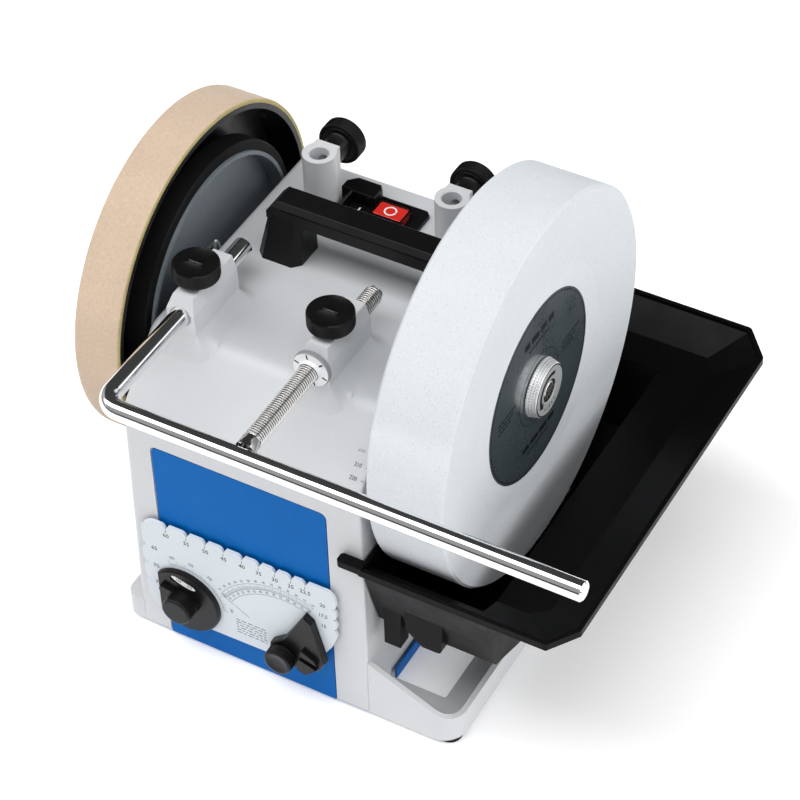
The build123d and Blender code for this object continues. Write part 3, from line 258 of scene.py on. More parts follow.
M = {
    "housing": surface("silver_paint", srgb(200, 202, 204), rough=0.45, var=0.015, fine=0.03,
                       fine_scale=1500, grain=0.16, grain_scale=2600, dents=0.02, dents_scale=40,
                       spec=0.5, coat=0.12, coat_rough=0.35),
    "blue": surface("blue_sheet", (0.001, 0.120, 0.42), rough=0.42, var=0.03, fine=0.02, grain=0.05,
                    spec=0.06, dents=0.02, dents_scale=14, extra=scratch_extra),
    "black": surface("black_plastic", srgb(14, 14, 15), rough=0.38, var=0.08, fine=0.12,
                     fine_scale=1400, grain=0.3, grain_scale=1500, grain_dist=0.00014, spec=0.2,
                     marks=0.08, marks_color=srgb(60, 60, 62)),
    "black_satin": surface("black_satin_plastic", srgb(14, 14, 15), rough=0.32, var=0.08, fine=0.1,
                           grain=0.2, grain_scale=1900, grain_dist=0.0001, spec=0.22),
    "trough": surface("trough_plastic", srgb(10, 10, 11), rough=0.36, var=0.1, fine=0.1,
                      grain=0.18, grain_scale=1300, spec=0.07, marks=0.12,
                      marks_color=srgb(48, 49, 50), extra=scratch_extra),
    "rubber": surface("black_rubber", srgb(11, 11, 12), rough=0.7, var=0.12, fine=0.12,
                      grain=0.4, grain_scale=1000, grain_dist=0.00016, spec=0.2),
    "stone": surface("abrasive_stone", srgb(209, 213, 216), rough=0.88, var=0.02, var_scale=16,
                     fine=0.05, fine_scale=1100, grain=0.0, spec=0.25, extra=stone_extra),
    "label": surface("printed_label", srgb(62, 71, 74), rough=0.3, var=0.03, fine=0.012, grain=0.004,
                     grain_scale=500, spec=0.6, coat=0.9, coat_rough=0.1),
    # black print; the same material paints the shade rings in the wheel nut's groove and recess
    "ink": surface("black_ink_and_painted_shade", srgb(8, 8, 9), rough=0.6, var=0.05, fine=0.05, grain=0.05, spec=0.15),
    # grey print for scales and numbers; the same material paints the highlight along the front knobs' ridges
    "grey_ink_and_painted_highlight": surface("grey_ink_and_painted_highlight", srgb(98, 102, 106), rough=0.6, var=0.05, fine=0.05, grain=0.05),
    "white_ink": surface("white_ink", srgb(235, 235, 235), rough=0.5, var=0.03, fine=0.03, grain=0.05),
    "leather": surface("honing_leather_tan", srgb(200, 179, 157), rough=0.86, var=0.05, var_scale=26,
                       fine=0.08, fine_scale=600, grain=0.3, grain_scale=1300, spec=0.25,
                       sheen=0.18, extra=suede_extra),
    "leather_edge": surface("leather_cut_edge", srgb(176, 162, 112), rough=0.8, var=0.1, var_scale=90,
                            fine=0.15, fine_scale=900, grain=0.5, grain_scale=900, spec=0.25,
                            stretch=(0.3, 1, 1)),
    "chrome": surface("bar_chrome", (0.86, 0.87, 0.88), rough=0.07, metal=1.0, var=0.02, fine=0.02,
                      rough_var=0.03, grain=0.03, grain_scale=900, extra=scratch_extra),
    "steel": surface("turned_steel", (0.70, 0.69, 0.66), rough=0.26, metal=1.0, var=0.05, fine=0.08,
                     rough_var=0.08, grain=0.12, grain_scale=1800),
    "thread": surface("thread_nickel", (0.60, 0.595, 0.58), rough=0.16, metal=1.0, var=0.06, fine=0.08,
                      rough_var=0.07, grain=0.1, grain_scale=1500),
    "nut_face": surface("nut_face_satin", (0.42, 0.435, 0.435), rough=0.42, metal=0.4, var=0.03,
                        fine=0.04, grain=0.1, grain_scale=2200, extra=turned(0.2, 0.0004)),
    # near-black for the thread's roots: painted shade, with some oil
    "thread_root_painted_shade": surface("thread_root_painted_shade", (0.06, 0.06, 0.058), rough=0.4, metal=0.8, var=0.1, fine=0.1,
                           grain=0.1, grain_scale=1500),
    "knurl": surface("knurled_nickel", (0.90, 0.91, 0.92), rough=0.4, metal=0.6, var=0.04, fine=0.06,
                     rough_var=0.06, grain=0.1, grain_scale=1800),
    "nut_white": surface("adjuster_face", srgb(226, 227, 228), rough=0.4, var=0.02, fine=0.03,
                         grain=0.08, grain_scale=1300),
    "disc": surface("cast_disc", srgb(130, 138, 143), rough=0.45, metal=0.35, var=0.05, var_scale=18,
                    fine=0.05, grain=0.15, grain_scale=1200, extra=turned(0.18, 0.0009)),
    "white": surface("gauge_white", srgb(206, 213, 218), rough=0.4, var=0.012, fine=0.02,
                     grain=0.08, grain_scale=1200, spec=0.5),
    "red": surface("red_button", srgb(214, 44, 34), rough=0.3, var=0.05, fine=0.04, grain=0.12,
                   coat=0.2, coat_rough=0.1),
    "bronze": surface("sintered_bronze", (0.45, 0.33, 0.2), rough=0.5, metal=0.8, var=0.08, fine=0.15,
                      grain=0.4, grain_scale=1400),
    "iron": surface("core_iron", (0.12, 0.12, 0.125), rough=0.55, metal=0.7, var=0.1, fine=0.12,
                    grain=0.5, grain_scale=1500, stretch=(3, 1, 1)),
    "grey": surface("grey_plastic", srgb(140, 142, 145), rough=0.5, var=0.05, fine=0.06, grain=0.2),
    # painted shade: near-black material for the insides of recesses; no part uses it
    "void": surface("dark_recess", srgb(10, 10, 10), rough=0.8, var=0.1, fine=0.1, grain=0.2),
}


def clear_material():
    m = bpy.data.materials.new("clear_cover")
    m.use_nodes = True
    nt = m.node_tree
    b = nt.nodes["Principled BSDF"]
    v = coords(nt)
    n = noise_tex(nt, v, 300, 4, 0.6)
    nt.links.new(mix(nt, n, (0.86, 0.88, 0.9), (0.96, 0.97, 0.98)), b.inputs["Base Color"])
    nt.links.new(remap(nt, n, 0.3, 0.7, 0.05, 0.14), b.inputs["Roughness"])
    b.inputs["Transmission Weight"].default_value = 1.0
    b.inputs["IOR"].default_value = 1.46
    nt.links.new(bump(nt, n, 0.06, 0.0002), b.inputs["Normal"])
    return m


M["clear"] = clear_material()

NODE_MATERIAL = {
    "housing": "housing", "foot_rail": "housing", "left_front_sleeve": "housing",
    "right_front_sleeve": "housing", "left_rear_sleeve": "housing", "right_rear_sleeve": "housing",
    "blue_panel": "blue", "panel_screws": "steel", "rubber_feet": "rubber",
    "carry_handle": "black", "grip_insert": "rubber", "handle_screws": "steel",
    "switch_body": "black_satin", "switch_cover": "clear", "start_button": "black_satin",
    "stop_button": "red", "left_bushing": "bronze", "right_bushing": "bronze",
    "cord_gland": "black", "capacitor": "grey", "capacitor_clamp": "steel",
    "terminal_block": "grey", "motor_pivot_pin": "steel", "main_shaft": "steel",
    "inner_flange": "disc", "grinding_wheel": "stone", "wheel_label": "label",
    "honing_wheel_hub": "black_satin", "honing_leather": "leather", "drive_disc": "disc",
    "drive_tyre": "rubber", "hub_pin": "steel", "wheel_nut": "steel", "honing_knob": "black",
    "motor_cradle": "steel", "motor_stator": "iron", "motor_end_bells": "disc",
    "motor_rotor": "iron", "motor_shaft": "steel", "cooling_fan": "black",
    "support_bar": "chrome", "threaded_leg": "thread", "micro_adjust_nut": "white",
    "left_front_knob": "black", "left_front_stud": "steel", "right_front_knob": "black",
    "right_front_stud": "steel", "left_rear_knob": "black", "left_rear_stud": "steel",
    "right_rear_knob": "black", "right_rear_stud": "steel", "water_trough": "trough",
    "trough_magnet": "steel", "gauge_plate": "white", "gauge_magnets": "steel",
    "gauge_dial": "black_satin", "gauge_pointer": "black_satin", "gauge_knob": "black_satin",
}
for n, o in nodes.items():
    o.data.materials.clear()
    o.data.materials.append(M[NODE_MATERIAL[n]])


# ------------------------------------------------------------------ mesh helpers
def finish_mesh(name, verts, faces, mats, body, face_mat=None, sharp=35,
                bevel=0.0, replaces=()):
    me = bpy.data.meshes.new(name)
    me.from_pydata([tuple(v) for v in verts], [], faces)
    me.update()
    for mm in mats:
        me.materials.append(M[mm])
    if face_mat:
        for p, k in zip(me.polygons, face_mat):
            p.material_index = k
    bm = bmesh.new()
    bm.from_mesh(me)
    bmesh.ops.remove_doubles(bm, verts=bm.verts, dist=1e-7)
    bmesh.ops.recalc_face_normals(bm, faces=bm.faces)
    for f in bm.faces:
        f.smooth = True
    for e in bm.edges:
        e.smooth = not (len(e.link_faces) == 2 and e.calc_face_angle(0) > math.radians(sharp))
    bm.to_mesh(me)
    bm.free()
    ob = bpy.data.objects.new(name, me)
    scene.collection.objects.link(ob)
    if bevel:
        md = ob.modifiers.new("edge", "BEVEL")
        md.width = bevel * 0.001
        md.segments = 2
        md.limit_method = "ANGLE"
        md.angle_limit = math.radians(30)
        md.harden_normals = False
    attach(ob, body)
    if replaces:
        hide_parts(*replaces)
    return ob


def basis(zdir, xdir):
    z = Vector(zdir).normalized()
    x = Vector(xdir).normalized()
    return x, z.cross(x), z


def lathe(rings, origin, zdir, xdir, seg, radius=None, height=None, closed_start=True,
          closed_end=True):
    """rings: list of (r, z) in mm along zdir. radius(i, a, r, z) and height(i, a, r, z) shape it."""
    x, y, z = basis(zdir, xdir)
    verts, faces = [], []
    for i, (r, h) in enumerate(rings):
        for k in range(seg):
            a = 2 * math.pi * k / seg
            rr = radius(i, a, r, h) if radius else r
            hh = height(i, a, r, h) if height else h
            verts.append(origin + (x * (rr * math.cos(a)) + y * (rr * math.sin(a)) + z * hh) * 0.001)
    for i in range(len(rings) - 1):
        for k in range(seg):
            k2 = (k + 1) % seg
            faces.append((i * seg + k, i * seg + k2, (i + 1) * seg + k2, (i + 1) * seg + k))
    if closed_start:
        faces.append(tuple(reversed(range(seg))))
    if closed_end:
        faces.append(tuple((len(rings) - 1) * seg + k for k in range(seg)))
    return verts, faces


def tri(t):
    """Triangle wave, 0 to 1."""
    t = t % 1.0
    return 2 * t if t < 0.5 else 2 - 2 * t


class Soup:
    """Collects small flat pieces, such as printed marks, into one mesh."""

    def __init__(self):
        self.v, self.f = [], []

    def add(self, verts, faces):
        o = len(self.v)
        self.v += verts
        self.f += [tuple(i + o for i in f) for f in faces]

    def slab(self, outline, origin, xd, yd, thick):
        """A thin prism with this outline (mm), standing thick mm proud along xd x yd."""
        nd = xd.cross(yd)
        n = len(outline)
        vs = [origin + (xd * a + yd * b + nd * t) * 0.001 for t in (0, thick) for a, b in outline]
        fs = [tuple(range(n))[::-1], tuple(range(n, 2 * n))]
        fs += [(k, (k + 1) % n, n + (k + 1) % n, n + k) for k in range(n)]
        self.add(vs, fs)

    def bar(self, a, b, width, origin, xd, yd, thick):
        ax, ay = a
        bx, by = b
        L = math.hypot(bx - ax, by - ay) or 1
        ux, uy = (bx - ax) / L * width / 2, (by - ay) / L * width / 2
        self.slab([(ax - uy, ay + ux), (ax + uy, ay - ux), (bx + uy, by - ux), (bx - uy, by + ux)][::-1],
                  origin, xd, yd, thick)

    def arc(self, cx, cy, r, a0, a1, width, origin, xd, yd, thick, steps=40):
        pts = [(cx + (r + width / 2) * math.cos(math.radians(a0 + (a1 - a0) * i / steps)),
                cy + (r + width / 2) * math.sin(math.radians(a0 + (a1 - a0) * i / steps)))
               for i in range(steps + 1)]
        pin = [(cx + (r - width / 2) * math.cos(math.radians(a0 + (a1 - a0) * i / steps)),
                cy + (r - width / 2) * math.sin(math.radians(a0 + (a1 - a0) * i / steps)))
               for i in range(steps + 1)]
        nd = xd.cross(yd)
        vs = []
        for t in (0, thick):
            for a, b in pts:
                vs.append(origin + (xd * a + yd * b + nd * t) * 0.001)
            for a, b in pin:
                vs.append(origin + (xd * a + yd * b + nd * t) * 0.001)
        n = steps + 1
        fs = []
        for i in range(steps):
            fs.append((i, i + 1, n + i + 1, n + i))
            fs.append((2 * n + i, 3 * n + i, 3 * n + i + 1, 2 * n + i + 1))
            fs.append((i, 2 * n + i, 2 * n + i + 1, i + 1))
            fs.append((n + i, n + i + 1, 3 * n + i + 1, 3 * n + i))
        fs.append((0, n, 3 * n, 2 * n))
        fs.append((n - 1, 3 * n - 1, 4 * n - 1, 2 * n - 1))
        self.add(vs, fs)

    def text(self, body, size, at, origin, xd, yd, thick, turn=0.0, squeeze=1.0):
        """Numerals, size mm tall, centred at (a, b) on the plane."""
        cu = bpy.data.curves.new("t", "FONT")
        cu.body = body
        cu.size = size * 1.38
        cu.align_x = "CENTER"
        cu.align_y = "CENTER"
        cu.extrude = thick / 2
        cu.resolution_u = 2
        ob = bpy.data.objects.new("t", cu)
        scene.collection.objects.link(ob)
        dg = bpy.context.evaluated_depsgraph_get()
        me = bpy.data.meshes.new_from_object(ob.evaluated_get(dg))
        nd = xd.cross(yd)
        c, s = math.cos(math.radians(turn)), math.sin(math.radians(turn))
        vs = []
        for v in me.vertices:
            x0, y0 = v.co.x * squeeze, v.co.y
            a, b = at[0] + x0 * c - y0 * s, at[1] + x0 * s + y0 * c
            vs.append(origin + (xd * a + yd * b + nd * (v.co.z + thick / 2)) * 0.001)
        self.add(vs, [tuple(p.vertices) for p in me.polygons])
        bpy.data.objects.remove(ob)
        bpy.data.meshes.remove(me)
        bpy.data.curves.remove(cu)

    def make(self, name, mat, body, slot_name=None, sharp=30):
        return finish_mesh(name, self.v, self.f, [mat], body, sharp=sharp)


# ------------------------------------------------------------------ cast fillets round the sleeves
def sleeve_fillet(name, cx):
    """Concave apron that runs a front sleeve block out into the top and the slope."""
    W, TOP, STEPS, hx, y0, y1 = 10.5, 36.8, 10, 9.72, -88.7, -41.3
    low = nodes["housing"].data.vertices
    edge = min(v.co.x for v in low if v.co.z > P(0, 0, 20).z) + 0.002
    outline = []
    for (qx, qy), a0 in (((hx - 1, y1 - 1), 0), ((-hx + 1, y1 - 1), 90), ((-hx + 1, y0 + 1), 180), ((hx - 1, y0 + 1), 270)):
        for k in range(7):
            a = math.radians(a0 + 15 * k)
            outline.append((qx + math.cos(a), qy + math.sin(a), math.cos(a), math.sin(a)))
    # extra stations along the two long sides, so the fillet bends where the slope begins
    full = []
    for i, p in enumerate(outline):
        q = outline[(i + 1) % len(outline)]
        full.append(p)
        if math.hypot(p[0] - q[0], p[1] - q[1]) > 10:
            full += [tuple(p[j] + (q[j] - p[j]) * t / 16 for j in range(4)) for t in range(1, 16)]
    n = len(full)
    verts, faces = [], []
    for k in range(STEPS + 1):
        t = k / STEPS
        for x, y, nx, ny in full:
            reach = W * t * (0.6 if ny < -0.5 else 1.0)
            px, py = cx + x + nx * W * t, y + ny * reach
            foot = min(28.62, y + 110.87)
            base = min(28.62, py + 110.87)
            p = P(px, py, base + (TOP - foot) * (1 - t) ** 2)
            p.x = max(p.x, edge)
            verts.append(p)
    for k in range(STEPS):
        for i in range(n):
            j = (i + 1) % n
            faces.append((k * n + i, k * n + j, (k + 1) * n + j, (k + 1) * n + i))
    return finish_mesh(name, verts, faces, ["housing"], "machine", sharp=60)


sleeve_fillet("sleeve_fillet_left", -192.0)
sleeve_fillet("sleeve_fillet_right", -102.0)


# ------------------------------------------------------------------ clamp knobs
def knob(name, origin, zdir, xdir, body, neck, replaces):
    """Fine-knurled clamp knob, z = 0 at the underside of its head."""
    R, H, TEETH, SEG = 14.25, 10.0, 78, 312

    def radius(i, a, r, z):
        if r > R - 0.3 and 0.9 < z < H - 0.8:
            return r - 0.42 * (1 - tri(a / (2 * math.pi) * TEETH)) ** 1.5
        return r

    def height(i, a, r, z):
        if z < H - 0.01 or r > R - 0.9:
            return z
        px, py = r * math.cos(a), abs(r * math.sin(a))
        q = 17 ** 2 - px ** 2 - (py - 7.4) ** 2
        return min(z, H + 15.2 - math.sqrt(q)) if q > 0 else z

    rings = [(4.2, -neck), (7.6, -neck), (8.0, -neck + 0.4), (8.0, -0.8), (8.6, 0.0), (11.6, 0.0),
             (12.0, 0.5), (12.4, 0.0), (R - 0.9, 0.0), (R - 0.35, 0.3), (R - 0.12, 0.92), (R, 1.1)]
    rings += [(R, 1.1 + (H - 2.1) * k / 6) for k in range(1, 7)]
    rings += [(R - 0.12, H - 0.75), (R - 0.5, H - 0.25), (R - 0.95, H)]
    rings += [(R - 1.0 - (R - 1.6) * k / 24, H) for k in range(0, 25)]
    v, f = lathe(rings, origin, zdir, xdir, SEG, radius, height)
    return finish_mesh(name, v, f, ["black"], body, sharp=40, replaces=replaces)


for side_name, x in (("left", -192.0), ("right", -102.0)):
    knob(f"{side_name}_front_knob_knurled", P(x, -68.6, 64.0), Z, X, f"{side_name}_front_clamp",
         3.0, (f"{side_name}_front_knob",))
for side_name, x in (("left", -178.8), ("right", -88.0)):
    knob(f"{side_name}_rear_knob_knurled", P(x, 72.5, 64.5), Y, X, f"{side_name}_rear_clamp",
         11.0, (f"{side_name}_rear_knob",))


# painted highlight: a thin grey bar along the ridge where the two finger scoops of a knob meet, standing in for the
# light the ridge catches
for side_name, x in (("left", -192.0), ("right", -102.0)):
    s = Soup()
    s.bar((-4.6, 0), (4.6, 0), 0.45, P(x, -68.6, 73.75), X, Y, 0.25)
    s.make(f"{side_name}_front_knob_ridge_painted_highlight", "grey_ink_and_painted_highlight", f"{side_name}_front_clamp", "black_plastic")


# ------------------------------------------------------------------ threaded leg
def threaded_leg():
    R, PITCH, SEG = 6.0, 1.75, 56
    y0, y1 = -18.0, -157.5
    rings, per = [], 8
    n = int((y0 - y1 - 2.4) / PITCH * per)
    rings.append((0.01, 0.0))
    rings.append((4.6, 0.0))
    start = 1.2
    for k in range(n + 1):
        rings.append((R, start + k * PITCH / per))
    end = start + n * PITCH / per
    rings += [(5.15, end + 0.3), (5.6, end + 0.9), (5.9, end + 1.2), (5.9, -165.0 * -1 + y0)]

    def radius(i, a, r, z):
        if 1 < i < 3 + n:
            ph = tri(z / PITCH - a / (2 * math.pi))
            d = 1.12 * max(0.0, min(1.0, (0.84 - ph) / 0.84))
            rr = R - d
            lead = min(1.0, (z - start) / 2.2)
            return min(rr, 4.9 + 1.1 * lead) if lead < 1 else rr
        return r
    v, f = lathe(rings, P(-102, y0, 48.1), -Y, X, SEG, radius)
    # painted shade, with some oil: faces in the roots of the thread take a near-black material that stands in for
    # the shade between the turns
    fm = [0] * len(f)
    for i in range(2, n + 2):
        for k in range(SEG):
            ph = tri((start + (i - 1.5) * PITCH / per) / PITCH - (k + 0.5) / SEG)
            fm[i * SEG + k] = 1 if ph < 0.36 else 0
    return finish_mesh("threaded_leg_cut", v, f, ["thread", "thread_root_painted_shade"], "support",
                       face_mat=fm, sharp=80,
                       replaces=("threaded_leg",))


threaded_leg()


# ------------------------------------------------------------------ micro adjuster
def adjuster():
    o = P(-102, -89.2, 48.1)
    TEETH, SEG = 60, 240

    def radius(i, a, r, z):
        if r > 11.9:
            return r - 0.35 * (1 - tri(a / (2 * math.pi) * TEETH))
        return r
    rings = [(6.06, 0), (11.4, 0), (12.0, 0.5), (12.0, 1.4), (12.0, 2.6), (12.0, 3.4), (11.5, 3.9), (11.2, 4.0),
             (7.5, 4.0), (7.2, 4.1), (7.0, 4.3), (7.0, 6.0), (6.8, 6.4), (6.5, 6.5), (6.06, 6.2), (6.06, 0)]
    v, f = lathe(rings, o, -Y, X, SEG, radius, closed_start=False, closed_end=False)
    fm = [1 if i < 6 else 0 for i in range(15) for k in range(SEG)]
    finish_mesh("micro_adjust_nut_body", v, f, ["nut_white", "grey"], "adjuster",
                face_mat=fm, sharp=35, replaces=("micro_adjust_nut",))
    s = Soup()
    face = P(-102, -93.2, 48.1)
    for k in range(6):
        a = math.radians(90 + 60 * k + 12)
        s.bar((7.8 * math.cos(a), 7.8 * math.sin(a)), (11.1 * math.cos(a), 11.1 * math.sin(a)), 1.0,
              face, X, Z, 0.06)
    s.make("micro_adjust_marks", "ink", "adjuster", "white_print")


adjuster()


# ------------------------------------------------------------------ wheel nut
def wheel_nut():
    SEG, TEETH = 360, 60

    def radius(i, a, r, x):
        if r > 17.2 and -3.3 < x < 2.4:
            t = a / (2 * math.pi) * TEETH
            d = max(tri(t + x / 1.7), tri(t - x / 1.7))
            return r - 0.42 * d
        return r
    rings = [(7.6, -4.0), (17.9, -4.0), (18.6, -3.6), (18.9, -3.3)]
    rings += [(18.8 - 1.35 * k / 16, -3.2 + 5.5 * k / 16) for k in range(17)]
    rings += [(17.3, 2.6), (17.1, 2.9), (16.95, 3.1)]
    v, f = lathe(rings, P(0, 0, 0), X, Y, SEG, radius, closed_start=False, closed_end=False)
    nbody = len(f)
    # face disc, set off from the knurled rim by a fine groove
    ring2 = [(16.95, 3.1), (16.75, 2.6), (16.1, 2.6), (15.95, 3.2), (15.85, 3.35), (15.7, 3.4)]
    ring2 += [(15.7 - 0.4 * k, 3.4) for k in range(1, 19)]
    ring2 += [(7.9, 3.4), (7.5, 3.0), (7.4, 1.2), (6.06, 1.2)]
    v2, f2 = lathe(ring2, P(0, 0, 0), X, Y, SEG, None, None, closed_start=False, closed_end=False)
    off = len(v)
    v += v2
    f += [tuple(i + off for i in q) for q in f2]
    # inner wall that closes it onto the shaft
    ring3 = [(6.06, 1.2), (6.06, -4.0), (7.6, -4.0)]
    v3, f3 = lathe(ring3, P(0, 0, 0), X, Y, SEG, None, None, closed_start=False, closed_end=False)
    off = len(v)
    v += v3
    f += [tuple(i + off for i in q) for q in f3]
    fm = [0] * nbody + [1] * len(f2) + [0] * len(f3)
    # painted shade: the deepest faces of the knurl take the darker disc material, standing in for the shade in its
    # pits
    for i in range(3, 19):
        for k in range(SEG):
            x = -3.2 + 5.5 * (i - 2.5) / 16
            t = (k + 0.5) / SEG * TEETH
            if max(tri(t + x / 1.7), tri(t - x / 1.7)) > 0.93:
                fm[i * SEG + k] = 2
    finish_mesh("wheel_nut_knurled", v, f, ["knurl", "nut_face", "disc"], "wheel_nut",
                face_mat=fm, sharp=32, replaces=("wheel_nut",))
    # printed turning arrow and ticks; painted shade: a dark ring over the fine groove round the face, and one in the
    # recess round the shaft's end
    s = Soup()
    o = P(3.4, 0, 0)
    s.arc(0, 0, 11.7, 58, 198, 2.5, o, Y, Z, 0.06, 60)
    a0 = math.radians(197.5)
    s.slab([((11.7 + q) * math.cos(a0), (11.7 + q) * math.sin(a0)) for q in (-2.9, 2.9)]
           + [(11.7 * math.cos(math.radians(221)), 11.7 * math.sin(math.radians(221)))], o, Y, Z, 0.06)
    # painted shade: dark rings laid in the groove and in the recess round the shaft
    s.arc(0, 0, 16.4, 0, 360, 0.8, P(3.05, 0, 0), Y, Z, 0.1, 120)
    s.arc(0, 0, 6.75, 0, 360, 1.3, P(2.6, 0, 0), Y, Z, 0.1, 60)
    for k in range(5):
        q = math.radians(238 + 15 * k)
        s.bar((11.2 * math.cos(q), 11.2 * math.sin(q)), (13.0 * math.cos(q), 13.0 * math.sin(q)), 0.8, o, Y, Z, 0.05)
    s.make("wheel_nut_print_and_painted_shade", "ink", "wheel_nut", "bright_steel")


wheel_nut()


# ------------------------------------------------------------------ printed label on the wheel
def label_marks():
    s = Soup()
    o = P(-4.0, 0, 0)
    s.arc(0, 0, 60.2, 0, 360, 0.5, o, Y, Z, 0.05, 120)
    s.arc(0, 0, 24.5, 0, 360, 0.4, o, Y, Z, 0.05, 90)
    # neutral blocks where a maker prints its lines of text
    random.seed(3)

    def words(x0, y0, ang, length, h):
        c, q = math.cos(math.radians(ang)), math.sin(math.radians(ang))
        t = 0.0
        while t < length:
            w = random.uniform(1.4, 4.6) * h / 1.6
            w = min(w, length - t)
            if w > 0.5:
                s.bar((x0 + t * c, y0 + t * q), (x0 + (t + w) * c, y0 + (t + w) * q), h, o, Y, Z, 0.05)
            t += w + h * 0.5
    words(-18, 43.5, 0, 36, 4.6)
    words(-13, 37.0, 0, 26, 1.5)
    for k in range(3):
        words(30, 10 - 3.4 * k, 0, 22 - 3 * k, 1.3)
        words(-51, 10 - 3.4 * k, 0, 22 - 3 * k, 1.3)
    words(-20, -38, 0, 40, 3.6)
    words(-14, -44, 0, 28, 1.3)
    s.make("wheel_label_marks", "ink", "shaft", "label")


label_marks()


# ------------------------------------------------------------------ leather strap on the honing wheel
def leather():
    SEG = 360
    x0, x1, R0, R1 = -257.0, -226.0, 107.0, 110.0
    prof = [(R0, x0 + 0.1), (R0 + 1.4, x0), (R1 - 1.0, x0 + 0.12), (R1 - 0.35, x0 + 0.5), (R1 - 0.05, x0 + 1.3)]
    prof += [(R1, x0 + 2.2 + (x1 - x0 - 4.4) * k / 10) for k in range(11)]
    prof += [(R1 - 0.05, x1 - 1.3), (R1 - 0.35, x1 - 0.5), (R1 - 1.0, x1 - 0.12), (R0 + 1.4, x1), (R0, x1 - 0.1)]

    def radius(i, a, r, x):
        if r > R1 - 1.2:
            n = noise.noise(Vector((math.cos(a) * 9, math.sin(a) * 9, x * 0.12)))
            # skived joint where the two ends of the strap overlap
            seam = abs((math.degrees(a) - 250) - (x - x0) * 0.5)
            return r - 0.12 - 0.12 * n - (0.35 * max(0, 1 - seam / 0.8))
        return r
    rings = [(r, x) for r, x in prof]
    v, f = lathe(rings, P(0, 0, 0), X, Y, SEG, radius, closed_start=False, closed_end=False)
    n = len(rings)
    f += [((n - 1) * SEG + k, (n - 1) * SEG + (k + 1) % SEG, (k + 1) % SEG, k) for k in range(SEG)]
    fm = []
    for i in range(n - 1):
        edge = i < 3 or i >= n - 4
        fm += [1 if edge else 0] * SEG
    fm += [1] * SEG
    finish_mesh("honing_leather_strap", v, f, ["leather", "leather_edge"], "shaft",
                face_mat=fm, sharp=60, replaces=("honing_leather",))


leather()


# ------------------------------------------------------------------ hub pin: bent spring wire
def wire(name, pts, r, body, mat, replaces=()):
    cu = bpy.data.curves.new(name, "CURVE")
    cu.dimensions = "3D"
    cu.bevel_depth = r * 0.001
    cu.bevel_resolution = 4
    cu.use_fill_caps = True
    sp = cu.splines.new("NURBS")
    sp.points.add(len(pts) - 1)
    for q, p in zip(sp.points, pts):
        q.co = (*P(*p), 1)
    sp.use_endpoint_u = True
    sp.order_u = 3
    ob = bpy.data.objects.new(name, cu)
    scene.collection.objects.link(ob)
    cu.materials.append(M[mat])
    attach(ob, body)
    if replaces:
        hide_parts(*replaces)
    return ob


wire("hub_pin_wire", [(-226, 0, -10.5), (-226, 0, 12), (-226, 0, 21), (-226, 0.5, 23.4), (-225.4, 1.6, 23.2),
                      (-224.6, 3.4, 17), (-223.6, 6.2, 10.5), (-223.0, 8.0, 8.8)], 0.95, "shaft", "knurl",
     ("hub_pin",))


